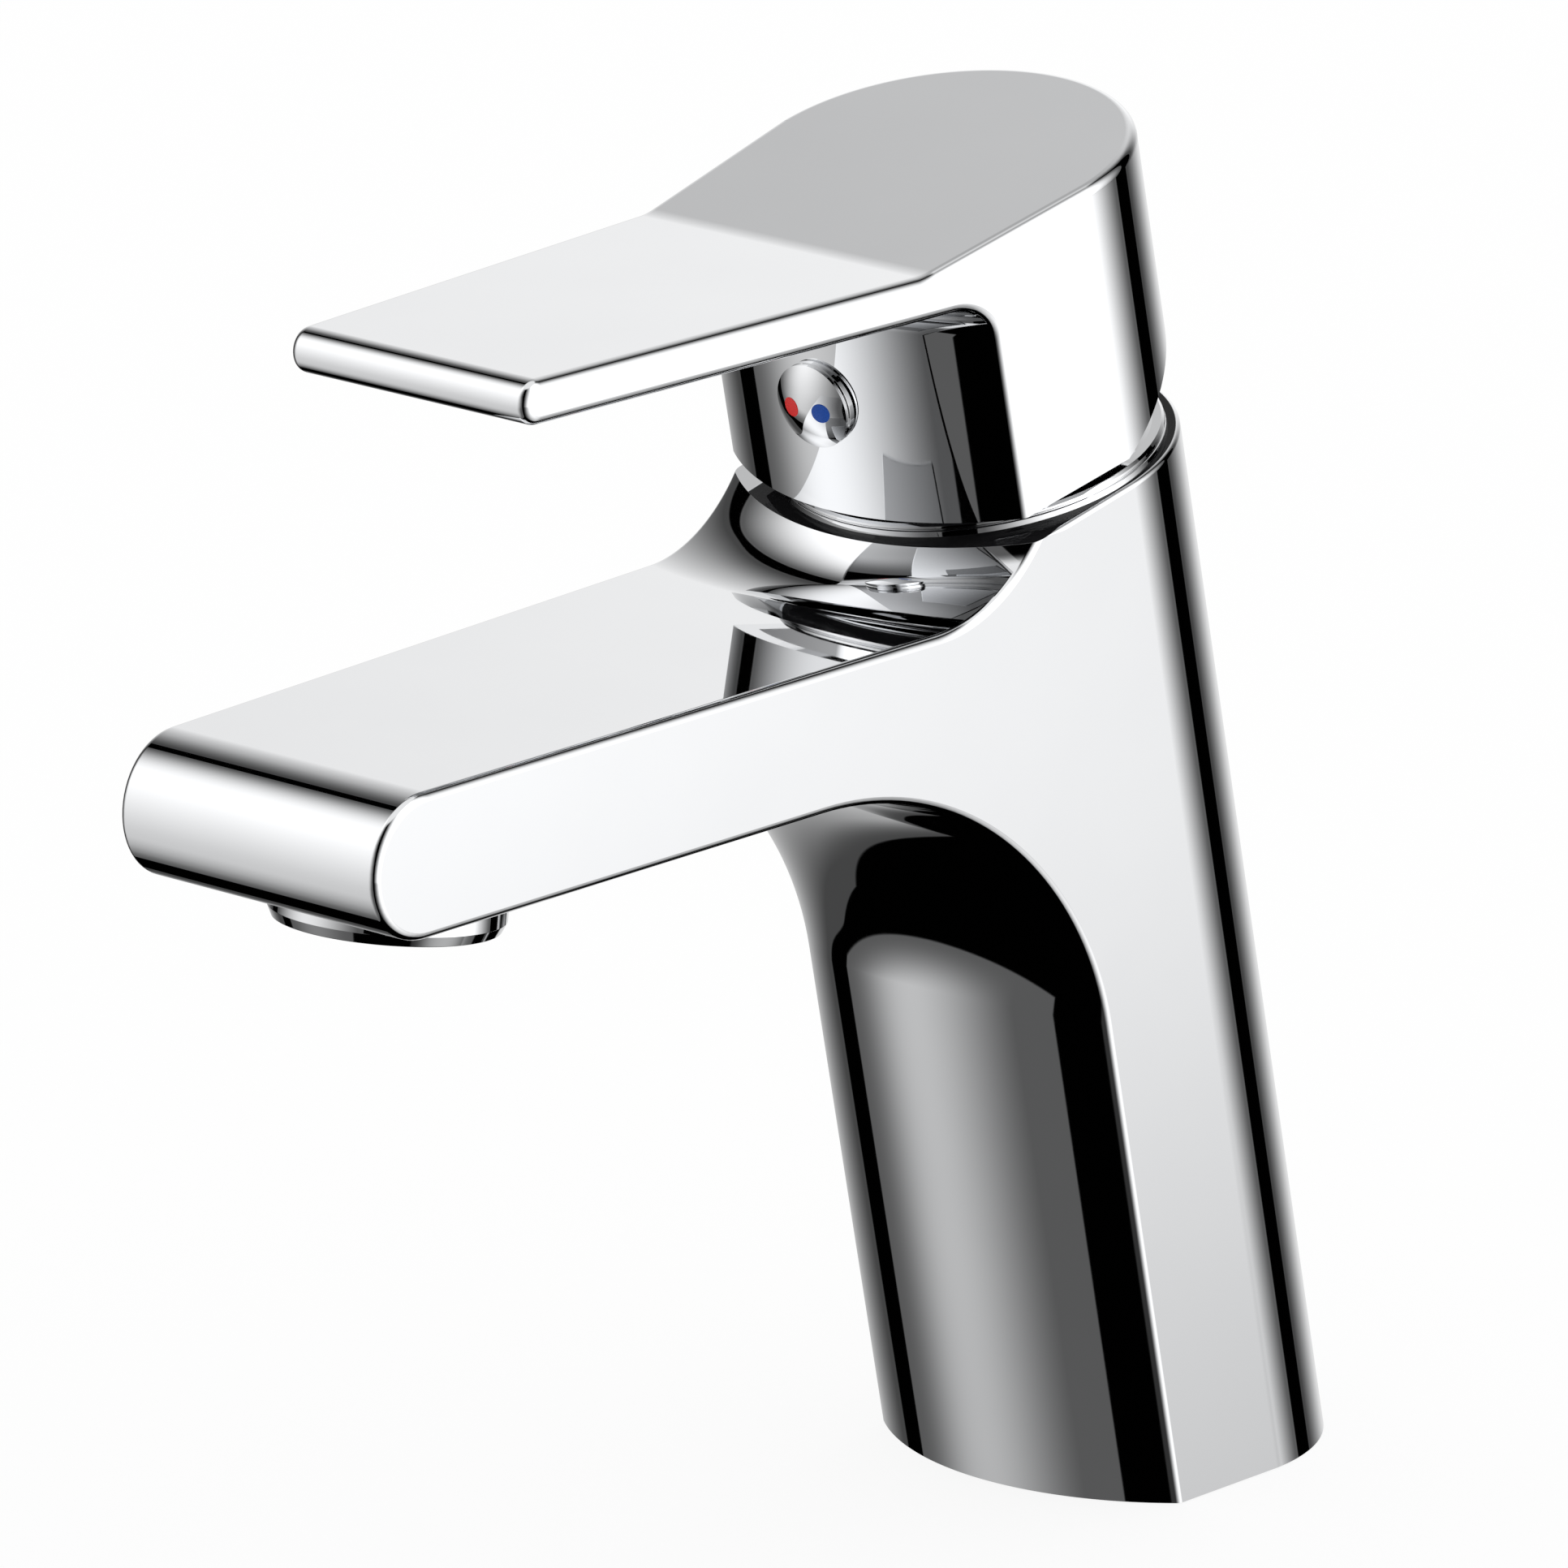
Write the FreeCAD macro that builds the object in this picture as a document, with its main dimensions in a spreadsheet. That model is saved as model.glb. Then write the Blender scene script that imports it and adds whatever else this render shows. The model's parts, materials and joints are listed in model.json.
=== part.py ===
import FreeCAD, Part
import math
import os
import re
import Sketcher

# Single-lever basin mixer in millimetres: +Z up, spout towards -Y, origin on the deck at the foot of the
# leaning axis. Heights "along the axis" are measured on that axis, which leans forward from the origin.
SIZES = {
    # body casting
    "lean_angle": 12.25,
    "body_half_width": 23.0,
    "body_taper": 1.95,
    "body_corner": 16.4,
    "front_radius": 34.4,
    "edge_round": 1.0,
    "rim_round": 0.6,
    "spout_level": 104.4,
    "spout_thickness": 16.65,
    "spout_reach": 148.5,
    "arch_radius": 42.0,
    "collar_rise": 7.5,
    "collar_radius": 11.8,
    "collar_spread": 7.7,
    # foot: hose chamber, seal groove, inlets and fixing stud
    "foot_wall": 5.5,
    "chamber_height": 60.0,
    "groove_inset": 1.5,
    "groove_width": 2.5,
    "groove_depth": 2.0,
    "seal_clearance": 0.1,
    "inlet_spread": 8.0,
    "inlet_setback": 5.0,
    "inlet_radius": 4.5,
    "inlet_depth": 12.0,
    "port_radius": 3.4,
    "stud_ahead": 11.0,
    "stud_radius": 3.4,
    "stud_depth": 14.0,
    # waterway to the outlet
    "outlet_ahead": 9.0,
    "outlet_drop": 7.0,
    "riser_ahead": 24.5,
    "riser_radius": 3.6,
    "channel_radius": 4.5,
    # cartridge stack, from its seat upwards
    "cartridge_radius": 17.5,
    "bore_clearance": 0.25,
    "base_flange": 2.5,
    "base_plug": 1.5,
    "seal_radius": 5.0,
    "seal_wall": 1.3,
    "seal_height": 1.0,
    "cavity_wall": 2.3,
    "fixed_disc_height": 4.0,
    "disc_film": 0.05,
    "moving_disc_height": 4.0,
    "disc_play": 1.5,
    "mixing_radius": 7.9,
    "mixing_depth": 2.0,
    "driver_height": 5.0,
    "tongue_height": 2.4,
    "tongue_width": 14.0,
    "ball_radius": 3.0,
    "ball_clearance": 0.35,
    "ball_sink": 0.5,
    "ball_mouth": 6.0,
    "slide_gap": 0.25,
    "rotor_flange": 3.7,
    "rotor_radius": 11.9,
    "running_gap": 0.05,
    "housing_roof": 2.7,
    "neck_wall": 1.65,
    "neck_rise": 1.2,
    "rotor_rise": 6.5,
    "slot_gap": 0.2,
    "slot_play": 0.5,
    "lift_angle": 25.0,
    "thread_step": 2.4,
    "thread_clearance": 0.1,
    "nut_height": 6.2,
    "nut_sink": 0.4,
    "notch_width": 4.0,
    "notch_reach": 4.0,
    "notch_depth": 2.0,
    # spindle, pivot and grub screw
    "spindle_arm": 10.0,
    "spindle_width": 8.0,
    "spindle_depth": 7.0,
    "spindle_heel": 4.5,
    "spindle_neck": 2.3,
    "spindle_rise": 30.0,
    "pin_radius": 2.0,
    "pin_inset": 0.5,
    "press_gap": 0.02,
    "screw_radius": 2.5,
    "key_radius": 1.25,
    "key_depth": 2.5,
    # cover ring on the rim
    "ring_inset": 0.8,
    "ring_height": 1.45,
    "ring_groove": 0.3,
    "ring_clearance": 0.4,
    "ring_ledge": 1.6,
    "dome_rise": 2.5,
    # handle
    "cap_gap": 2.8,
    "cap_inset": 0.2,
    "cap_taper": 3.66,
    "cap_corner": 16.0,
    "bevel_margin": 2.7,
    "cap_wall": 2.8,
    "cap_roof": 4.3,
    "finger_gap": 36.1,
    "lever_thickness": 5.2,
    "lever_reach": 122.4,
    "fold_ahead": 2.2,
    "fold_radius": 12.0,
    "root_round": 5.0,
    "handle_round": 1.2,
    "boss_width": 16.0,
    "boss_depth": 15.0,
    "boss_rise": 12.5,
    "socket_gap": 0.05,
    # index button in the front of the cap
    "button_rise": 13.7,
    "button_radius": 5.0,
    "button_edge": 1.0,
    "button_dome": 1.3,
    "button_seat": 0.4,
    "button_step": 1.0,
    "button_gap": 0.1,
    "mark_offset": 2.15,
    "mark_radius": 1.15,
    "mark_depth": 0.6,
    # aerator in the underside of the spout
    "outlet_setback": 23.0,
    "outlet_tilt": 7.3,
    "aerator_drop": 5.15,
    "aerator_radius": 13.2,
    "aerator_collar": 8.0,
    "aerator_shoulder": 1.4,
    "aerator_height": 14.0,
    "aerator_wall": 1.3,
    "aerator_lip": 0.8,
    "aerator_bevel": 0.56,
    "bevel_height": 1.2,
    "aerator_gap": 0.1,
    "screen_height": 1.5,
    "screen_hole": 1.2,
    "screen_rim": 2.5,
    "core_flange": 1.8,
    "core_groove": 2.1,
    "core_hole": 1.4,
    "core_pitch": 5.2,
    "washer_height": 1.5,
    "washer_width": 4.3,
}

# Positions that follow from the sizes. Levels of the cartridge count from its seat, others along the axis.
LEVELS = {
    "spout_top": "spout_level + spout_thickness / 2",
    "spout_under": "spout_level - spout_thickness / 2",
    "rim": "(spout_top + collar_rise + body_corner * sin(lean_angle)) / cos(lean_angle)",
    "fixed_disc_foot": "base_flange + base_plug",
    "moving_disc_foot": "fixed_disc_foot + fixed_disc_height + disc_film",
    "driver_foot": "moving_disc_foot + moving_disc_height",
    "driver_top": "driver_foot + driver_height",
    "rotor_foot": "driver_top + slide_gap",
    "flange_top": "rotor_foot + rotor_flange",
    "cavity_top": "flange_top + slide_gap",
    "shoulder": "cavity_top + housing_roof",
    "nut_top": "shoulder + nut_height",
    "seat_depth": "nut_top + nut_sink",
    "neck_top": "seat_depth + neck_rise",
    "seat": "rim - seat_depth",
    "ball_level": "driver_top - ball_sink",
    "pivot": "ball_level + spindle_arm",
    "rotor_top": "pivot + rotor_rise",
    "cavity_radius": "cartridge_radius - cavity_wall",
    "rotor_bore": "rotor_radius + running_gap",
    "neck_radius": "rotor_bore + neck_wall",
    "nut_radius": "cartridge_radius + thread_step",
    "thread_bore": "nut_radius + thread_clearance",
    "slide_offset": "spindle_arm * sin(lift_angle / 2)",
    "moving_disc_radius": "cavity_radius - slide_offset - disc_play",
    "slot_front": "spindle_arm * sin(lift_angle) + ball_radius + slot_play",
    "slot_back": "spindle_depth / 2 / cos(lift_angle) + rotor_rise * tan(lift_angle) + slot_play",
    "cap_foot": "rim + cap_gap",
    "lever_under": "spout_top + finger_gap",
    "lever_top": "lever_under + lever_thickness",
    "cap_bevel": "lift_angle + bevel_margin",
    "cap_half_width": "body_half_width - cap_inset",
    "cap_corner_half": "cap_half_width - tan(cap_taper) * cap_corner",
    "corner_half": "body_half_width - tan(body_taper) * body_corner",
    "body_front": "sqrt(front_radius ^ 2 - corner_half ^ 2) - body_corner - front_radius",
    "plan_middle": "(body_half_width + body_front) / 2",
    "cap_front": "sqrt(front_radius ^ 2 - cap_corner_half ^ 2) - cap_corner - front_radius",
    "cap_top": "lever_top / cos(lean_angle) - (cap_front - fold_ahead) * tan(lean_angle)",
    "button_level": "cap_foot + button_rise",
    "button_stem": "button_radius - button_step",
    "outlet_y": "outlet_setback - spout_reach - aerator_drop * sin(outlet_tilt)",
    "outlet_z": "spout_under - aerator_drop * cos(outlet_tilt)",
    "aerator_thread": "aerator_radius - aerator_shoulder",
    "aerator_bore": "aerator_thread - aerator_wall",
    "screen_pitch": "(aerator_bore - screen_rim) / 2",
    "core_waist": "aerator_bore - core_groove",
    "washer_bore": "aerator_thread - washer_width",
    "washer_top": "aerator_height + washer_height",
}

# Reach of the pieces that trim others, and how far a cut runs past the face that it opens
FAR = 400.0
PAST = 1.0
# Closeness at which a point counts as lying on a level, and the sink of the collar in the castings beside it
TOUCH = 0.01
SINK = 0.02
X_AXIS = FreeCAD.Vector(1, 0, 0)
Y_AXIS = FreeCAD.Vector(0, 1, 0)
Z_AXIS = FreeCAD.Vector(0, 0, 1)
COLLAR_SECTIONS = 9
NOTCHES = 4
CORE_HOLES = 8
# Holes in each ring of the aerator screen, and the turn of the rings against the middle plane
SCREEN_RINGS = (6, 12)
SCREEN_TURN = 7
NODES = []

doc = FreeCAD.newDocument("basin_mixer")
sheet = doc.addObject("Spreadsheet::Sheet", "Sizes")
for row, (alias, number) in enumerate(SIZES.items(), start=1):
    sheet.set(f"A{row}", alias)
    sheet.set(f"B{row}", str(number))
    sheet.setAlias(f"B{row}", alias)
doc.recompute()


def formula(text, own_levels=False):
    """Write size and level names as references that an expression understands."""
    def reference(match):
        word = match.group(0)
        if word in SIZES:
            return f"Sizes.{word}"
        if word in LEVELS and not own_levels:
            return f"Levels.{word}"
        return word
    return re.sub(r"[a-z_]+", reference, text)


levels = doc.addObject("App::VarSet", "Levels")
for name in LEVELS:
    levels.addProperty("App::PropertyFloat", name)
for name, text in LEVELS.items():
    levels.setExpression(name, formula(text, own_levels=True))
doc.recompute()


def size(name):
    return float(sheet.get(name))


def level(name):
    return getattr(levels, name)


def value(text):
    """Present value of a formula."""
    result = levels.evalExpression(formula(text))
    return float(getattr(result, "Value", result))


LEAN = math.radians(size("lean_angle"))
LEAN_FRAME = FreeCAD.Placement(FreeCAD.Vector(), FreeCAD.Rotation(X_AXIS, size("lean_angle")))


def leaning(across, depth, height):
    """Point given across the axis, behind it and along it."""
    return LEAN_FRAME.multVec(FreeCAD.Vector(across, depth, height))


def lean_depth(depth, z):
    """Y of the point at height z that lies this far behind the leaning axis."""
    return (depth - z * math.sin(LEAN)) / math.cos(LEAN)


def bind(item, **formulas):
    for prop, text in formulas.items():
        item.setExpression(prop, formula(text))
    return item


def lean_y(depth, height):
    return f"({depth}) * cos(lean_angle) - ({height}) * sin(lean_angle)"


def lean_z(depth, height):
    return f"({depth}) * sin(lean_angle) + ({height}) * cos(lean_angle)"


def place(item, base, tilt):
    """Bind a piece's base to three formulas, and its tilt about X to a fourth."""
    item.Placement = FreeCAD.Placement(FreeCAD.Vector(), FreeCAD.Rotation(X_AXIS, size("lean_angle")))
    for letter, text in zip("xyz", base):
        item.setExpression(f"Placement.Base.{letter}", formula(text))
    item.setExpression("Placement.Rotation.Angle", formula(tilt))
    return item


def place_leaning(item, depth="0", height="0", across="0"):
    """Stand a piece on the leaning axis, its own Z along the axis."""
    return place(item, (across, lean_y(depth, height), lean_z(depth, height)), "lean_angle")


def place_forward(item, depth, height):
    """Point a piece forwards, square to the leaning axis, its own Z away from the axis."""
    return place(item, ("0", lean_y(depth, height), lean_z(depth, height)), "lean_angle + 90")


def place_aerator(item, height="0"):
    """Stand a piece on the axis of the outlet, counted from the lower face of the aerator."""
    base = ("0", f"outlet_y + ({height}) * sin(outlet_tilt)", f"outlet_z + ({height}) * cos(outlet_tilt)")
    return place(item, base, "-outlet_tilt")


def cylinder(name, radius, height, base=("0", "0", "0"), axis=None):
    item = doc.addObject("Part::Cylinder", name)
    bind(item, Radius=radius, Height=height)
    if axis is not None:
        item.Placement = FreeCAD.Placement(FreeCAD.Vector(), FreeCAD.Rotation(Z_AXIS, axis))
    for letter, text in zip("xyz", base):
        item.setExpression(f"Placement.Base.{letter}", formula(text))
    return item


def box(name, length, width, height, base):
    item = doc.addObject("Part::Box", name)
    bind(item, Length=length, Width=width, Height=height)
    for letter, text in zip("xyz", base):
        item.setExpression(f"Placement.Base.{letter}", formula(text))
    return item


def fuse(name, pieces):
    item = doc.addObject("Part::MultiFuse", name)
    item.Shapes = pieces
    item.Refine = True
    return item


def cut(name, base, tool):
    item = doc.addObject("Part::Cut", name)
    item.Base = base
    item.Tool = tool
    return item


def common(name, first, second):
    item = doc.addObject("Part::MultiCommon", name)
    item.Shapes = [first, second]
    return item


def labelled(item, node):
    item.Label = node
    NODES.append(item)
    return item


def new_body(name):
    return doc.addObject("PartDesign::Body", name)


def origin_plane(body, role):
    return next(item for item in body.Origin.OriginFeatures if item.Role == role)


def new_sketch(body, name, role):
    sketch = body.newObject("Sketcher::SketchObject", name)
    sketch.AttachmentSupport = [(origin_plane(body, role), "")]
    sketch.MapMode = "FlatFace"
    return sketch


def pin_point(sketch, geometry, position, start, across, along):
    """Hold one sketch point at the two given formulas, measured from the origin."""
    for kind, axis, place, text in (("DistanceX", -2, start.x, across), ("DistanceY", -1, start.y, along)):
        if text == "0":
            sketch.addConstraint(Sketcher.Constraint("PointOnObject", geometry, position, axis))
        else:
            number = sketch.addConstraint(Sketcher.Constraint(kind, -1, 1, geometry, position, place))
            sketch.setExpression(f"Constraints[{number}]", formula(text))


def draw_polygon(sketch, corners):
    """Closed outline through the corners, each corner a pair of formulas."""
    count = len(corners)
    starts = [FreeCAD.Vector(value(across), value(along), 0) for across, along in corners]
    first = sketch.GeometryCount
    for i in range(count):
        sketch.addGeometry(Part.LineSegment(starts[i], starts[(i + 1) % count]))
    for i in range(count):
        sketch.addConstraint(Sketcher.Constraint("Coincident", first + i, 2, first + (i + 1) % count, 1))
    for i, (across, along) in enumerate(corners):
        pin_point(sketch, first + i, 1, starts[i], across, along)


def draw_circle(sketch, radius, across="0", along="0"):
    start = FreeCAD.Vector(value(across), value(along), 0)
    number = sketch.addGeometry(Part.Circle(start, Z_AXIS, value(radius)))
    pin_point(sketch, number, 3, start, across, along)
    held = sketch.addConstraint(Sketcher.Constraint("Radius", number, value(radius)))
    sketch.setExpression(f"Constraints[{held}]", formula(radius))


def turned(name, corners):
    """Body of revolution: the corners are (radius, height) formulas."""
    body = new_body(name)
    sketch = new_sketch(body, f"{name}_profile", "XZ_Plane")
    draw_polygon(sketch, corners)
    feature = body.newObject("PartDesign::Revolution", f"{name}_turn")
    feature.Profile = (sketch, [""])
    feature.ReferenceAxis = (sketch, ["V_Axis"])
    feature.Angle = 360
    return body


def padded(name, height, circles):
    """Round plate: the first circle is its rim, the others are holes through it."""
    body = new_body(name)
    sketch = new_sketch(body, f"{name}_outline", "XY_Plane")
    for radius, across, along in circles:
        draw_circle(sketch, radius, across, along)
    feature = body.newObject("PartDesign::Pad", f"{name}_pad")
    feature.Profile = (sketch, [""])
    bind(feature, Length=height)
    return body


# Section shared by the column and the cap: half-round back, tapering flat sides, bulging front
def section(half_width, taper, corner, radius, inset=0.0):
    slope = math.tan(math.radians(taper))
    corner_half = half_width - slope * corner
    centre = math.sqrt(radius ** 2 - corner_half ** 2) - corner
    half = half_width - inset
    front = radius - inset
    square = 1 + slope ** 2
    linear = half * slope - centre
    rest = half ** 2 + centre ** 2 - front ** 2
    depth = (-linear - math.sqrt(linear ** 2 - square * rest)) / square
    across = half + slope * depth
    left_back = FreeCAD.Vector(-half, 0, 0)
    right_back = FreeCAD.Vector(half, 0, 0)
    left_front = FreeCAD.Vector(-across, depth, 0)
    right_front = FreeCAD.Vector(across, depth, 0)
    return Part.Wire([
        Part.Arc(right_back, FreeCAD.Vector(0, half, 0), left_back).toShape(),
        Part.LineSegment(left_back, left_front).toShape(),
        Part.Arc(left_front, FreeCAD.Vector(0, centre - front, 0), right_front).toShape(),
        Part.LineSegment(right_front, right_back).toShape(),
    ])


def front_centre(half_width, taper, corner, radius):
    """Distance behind the axis of the centre of the front arc."""
    corner_half = half_width - math.tan(math.radians(taper)) * corner
    return math.sqrt(radius ** 2 - corner_half ** 2) - corner


def lean_prism(wire, foot, top):
    solid = Part.Face(wire).extrude(FreeCAD.Vector(0, 0, top - foot))
    solid.translate(FreeCAD.Vector(0, 0, foot))
    solid.Placement = LEAN_FRAME.multiply(solid.Placement)
    return solid


def side_wedge(half_width, taper):
    """Everything between the two flat sides, which close in towards the front."""
    narrow = half_width - FAR / 2 * math.tan(math.radians(taper))
    corners = [(half_width, FAR), (-half_width, FAR), (-half_width, 0), (-narrow, -FAR / 2),
               (narrow, -FAR / 2), (half_width, 0), (half_width, FAR)]
    outline = Part.makePolygon([FreeCAD.Vector(across, depth, 0) for across, depth in corners])
    return lean_prism(outline, -FAR / 2, FAR)


def side_extrusion(edges):
    """Solid from an outline in the middle plane, drawn out to both sides."""
    solid = Part.Face(Part.Wire(edges)).extrude(FreeCAD.Vector(FAR, 0, 0))
    solid.translate(FreeCAD.Vector(-FAR / 2, 0, 0))
    return solid


def side_point(y, z):
    return FreeCAD.Vector(0, y, z)


def line(first, second):
    return Part.LineSegment(first, second).toShape()


def round_nose(reach, under, top):
    """Edges of a level bar with a half-round end: lower edge end, nose and upper edge start."""
    radius = (top - under) / 2
    centre = radius - reach
    low = side_point(centre, under)
    high = side_point(centre, top)
    nose = Part.Arc(low, side_point(-reach, under + radius), high).toShape()
    return low, nose, high


def is_flat_edge(edge, z):
    bounds = edge.BoundBox
    return bounds.ZLength < TOUCH and abs(bounds.ZMin - z) < TOUCH


def root_edges(solid, z):
    """Curved edge where a level underside runs into a bulging front."""
    return [edge for edge in solid.Edges
            if is_flat_edge(edge, z) and edge.BoundBox.YLength > TOUCH and edge.BoundBox.XLength > TOUCH
            and axis_depth(edge.CenterOfMass) > -size("front_radius")
            and edge.Curve.TypeId != "Part::GeomLine"]


def axis_height(point):
    return LEAN_FRAME.inverse().multVec(point).z


def axis_depth(point):
    return LEAN_FRAME.inverse().multVec(point).y


def side_faces(solid):
    return [face for face in solid.Faces
            if face.Surface.TypeId == "Part::GeomPlane" and abs(face.normalAt(0, 0).x) > 0.9]


def edge_ends(edge):
    return [edge.valueAt(edge.FirstParameter), edge.valueAt(edge.LastParameter)]


def side_edges(solid, is_kept):
    found = []
    for face in side_faces(solid):
        for edge in face.Edges:
            if is_kept(edge_ends(edge)) and not any(edge.isSame(other) for other in found):
                found.append(edge)
    return found


# Body casting: column, spout, collar below the rim, arch below the spout
def collar_wire(across, inner_depth):
    """Outline of the collar in one upright plane: an arc, wider towards the sides, from the rim to the spout."""
    centre = front_centre(size("body_half_width"), size("body_taper"), size("body_corner"),
                          size("front_radius"))
    depth = centre - math.sqrt(size("front_radius") ** 2 - across ** 2) - SINK
    rim = leaning(across, depth, level("rim"))
    radius = size("collar_radius") + size("collar_spread") * (across / level("corner_half")) ** 2
    arc_z = level("spout_top") + radius - SINK
    arc_y = rim.y - math.sqrt(radius ** 2 - (arc_z - rim.z) ** 2)
    half_sweep = math.acos((arc_z - rim.z) / radius) / 2
    foot = FreeCAD.Vector(across, arc_y, arc_z - radius)
    middle = FreeCAD.Vector(across, arc_y + radius * math.sin(half_sweep),
                            arc_z - radius * math.cos(half_sweep))
    low_z = size("spout_level")
    low = FreeCAD.Vector(across, arc_y, low_z)
    inner_low = FreeCAD.Vector(across, lean_depth(inner_depth, low_z), low_z)
    inner_top = leaning(across, inner_depth, level("rim"))
    return Part.Wire([Part.Arc(rim, middle, foot).toShape(), line(foot, low), line(low, inner_low),
                      line(inner_low, inner_top), line(inner_top, rim)])


def body_shell():
    half_width = size("body_half_width")
    outline = section(half_width, size("body_taper"), size("body_corner"), size("front_radius"))
    column = lean_prism(outline, -half_width, level("rim"))
    below_deck = Part.makeBox(FAR, FAR, FAR, FreeCAD.Vector(-FAR / 2, -FAR / 2, -FAR))
    column = column.cut(below_deck)
    wedge = side_wedge(half_width, size("body_taper"))
    inner_depth = -size("body_corner") / 2
    under = level("spout_under")
    top = level("spout_top")
    low, nose, high = round_nose(size("spout_reach"), under, top)
    inner_low = side_point(lean_depth(inner_depth, under), under)
    inner_high = side_point(lean_depth(inner_depth, top), top)
    spout = side_extrusion([line(inner_low, low), nose, line(high, inner_high), line(inner_high, inner_low)])
    spread = half_width + PAST
    steps = [spread * (2 * i / (COLLAR_SECTIONS - 1) - 1) for i in range(COLLAR_SECTIONS)]
    collar = Part.makeLoft([collar_wire(across, inner_depth) for across in steps], True)
    shell = column.fuse([spout.common(wedge), collar.common(wedge)]).removeSplitter()
    shell = shell.makeFillet(size("arch_radius"), root_edges(shell, under))

    def is_outer(ends):
        on_rim = all(abs(axis_height(end) - level("rim")) < TOUCH for end in ends)
        on_deck = all(end.z < TOUCH for end in ends)
        on_back = all(axis_depth(end) > -TOUCH for end in ends)
        return not (on_rim or on_deck or on_back)

    shell = shell.makeFillet(size("edge_round"), side_edges(shell, is_outer))
    rim_edges = [edge for edge in shell.Edges
                 if all(abs(axis_height(end) - level("rim")) < TOUCH for end in edge_ends(edge))
                 and axis_depth(edge.CenterOfMass) > inner_depth]
    return shell.makeFillet(size("rim_round"), rim_edges)


def foot_ring(outer_inset, inner_inset, top):
    """Ring that follows the outline of the foot, from the deck up to a level top."""
    rings = []
    for inset in (outer_inset, inner_inset):
        outline = section(size("body_half_width"), size("body_taper"), size("body_corner"),
                          size("front_radius"), inset)
        rings.append(lean_prism(outline, -size("body_half_width"), size("body_half_width")))
    slab = Part.makeBox(FAR, FAR, top, FreeCAD.Vector(-FAR / 2, -FAR / 2, 0))
    return rings[0].cut(rings[1]).common(slab)


def hose_chamber():
    outline = section(size("body_half_width"), size("body_taper"), size("body_corner"),
                      size("front_radius"), size("foot_wall"))
    return lean_prism(outline, -size("body_half_width"), size("chamber_height"))


def shaped(name, shape):
    item = doc.addObject("Part::Feature", name)
    item.Shape = shape
    return item


def seat_cylinder(name, radius, foot, height, across="0", depth="0"):
    """Bore along the axis, its foot counted along the axis from the deck."""
    item = cylinder(name, radius, height)
    return place_leaning(item, depth=depth, height=foot, across=across)


def make_faucet_body():
    shell = shaped("body_shell", body_shell())
    hollows = [
        shaped("hose_chamber", hose_chamber()),
        shaped("seal_groove", foot_ring(size("groove_inset"), size("groove_inset") + size("groove_width"),
                                        size("groove_depth"))),
        seat_cylinder("cartridge_bore", "cartridge_radius + bore_clearance", "seat", "seat_depth"),
        seat_cylinder("nut_bore", "thread_bore", "seat + cavity_top", "seat_depth"),
        seat_cylinder("stud_hole", "stud_radius", f"chamber_height - {PAST}", f"stud_depth + {PAST}",
                      depth="-stud_ahead"),
        seat_cylinder("outlet_port", "riser_radius", "seat - outlet_drop", f"outlet_drop + {PAST}",
                      depth="-outlet_ahead"),
        seat_cylinder("riser", "riser_radius", "seat - outlet_drop", "seat_depth - outlet_drop",
                      depth="-riser_ahead"),
    ]
    for side in (-1, 1):
        across = f"{side} * inlet_spread"
        hollows.append(seat_cylinder(f"inlet_{side + 1}", "inlet_radius", f"chamber_height - {PAST}",
                                     f"inlet_depth + {PAST}", across, "inlet_setback"))
        hollows.append(seat_cylinder(f"inlet_way_{side + 1}", "port_radius", "chamber_height",
                                     f"seat - chamber_height + {PAST}", across, "inlet_setback"))
    crossway = cylinder("crossway", "riser_radius", "riser_ahead - outlet_ahead")
    hollows.append(place_forward(crossway, "-outlet_ahead", "seat - outlet_drop + riser_radius"))
    riser_y = "-(riser_ahead + spout_level * sin(lean_angle)) / cos(lean_angle)"
    channel = cylinder("channel", "channel_radius", f"-outlet_y + {riser_y}",
                       ("0", riser_y, "spout_level"), axis=-Y_AXIS)
    hollows.append(channel)
    collar_bore = cylinder("aerator_seat", "aerator_radius + aerator_gap", "aerator_collar + aerator_gap")
    hollows.append(place_aerator(collar_bore))
    thread = cylinder("aerator_bore_way", "aerator_thread + aerator_gap", "washer_top")
    hollows.append(place_aerator(thread))
    return labelled(cut("faucet_body", shell, fuse("body_hollows", hollows)), "faucet_body")


def make_base_seal():
    clearance = size("seal_clearance")
    outer = size("groove_inset") + clearance
    inner = size("groove_inset") + size("groove_width") - clearance
    return labelled(shaped("base_seal", foot_ring(outer, inner, size("groove_depth"))), "base_seal")


# Cover ring and retaining nut on the rim
def make_cover_ring():
    """Trim ring, centred on the plan of the column, with its bore on the axis of the cartridge."""
    outer = "body_half_width - ring_inset"
    middle = "ring_height / 2"
    inner = "neck_radius + ring_clearance"
    blank = turned("ring_blank", [
        ("0", "0"), (outer, "0"), (outer, f"{middle} - ring_groove / 2"),
        (f"{outer} - ring_groove", middle), (outer, f"{middle} + ring_groove / 2"),
        (outer, "ring_height - ring_groove"), (f"{outer} - ring_groove", "ring_height"),
        (f"{outer} - ring_ledge", "ring_height"), (inner, "dome_rise"), ("0", "dome_rise")])
    place_leaning(blank, depth="plan_middle", height="rim")
    bore = seat_cylinder("ring_bore", inner, f"rim - {PAST}", f"neck_rise + ring_clearance + {PAST}")
    mouth = seat_cylinder("ring_mouth", "rotor_radius + ring_clearance", "rim", f"dome_rise + {PAST}")
    return labelled(cut("cover_ring", blank, fuse("ring_hollows", [bore, mouth])), "cover_ring")


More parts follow.
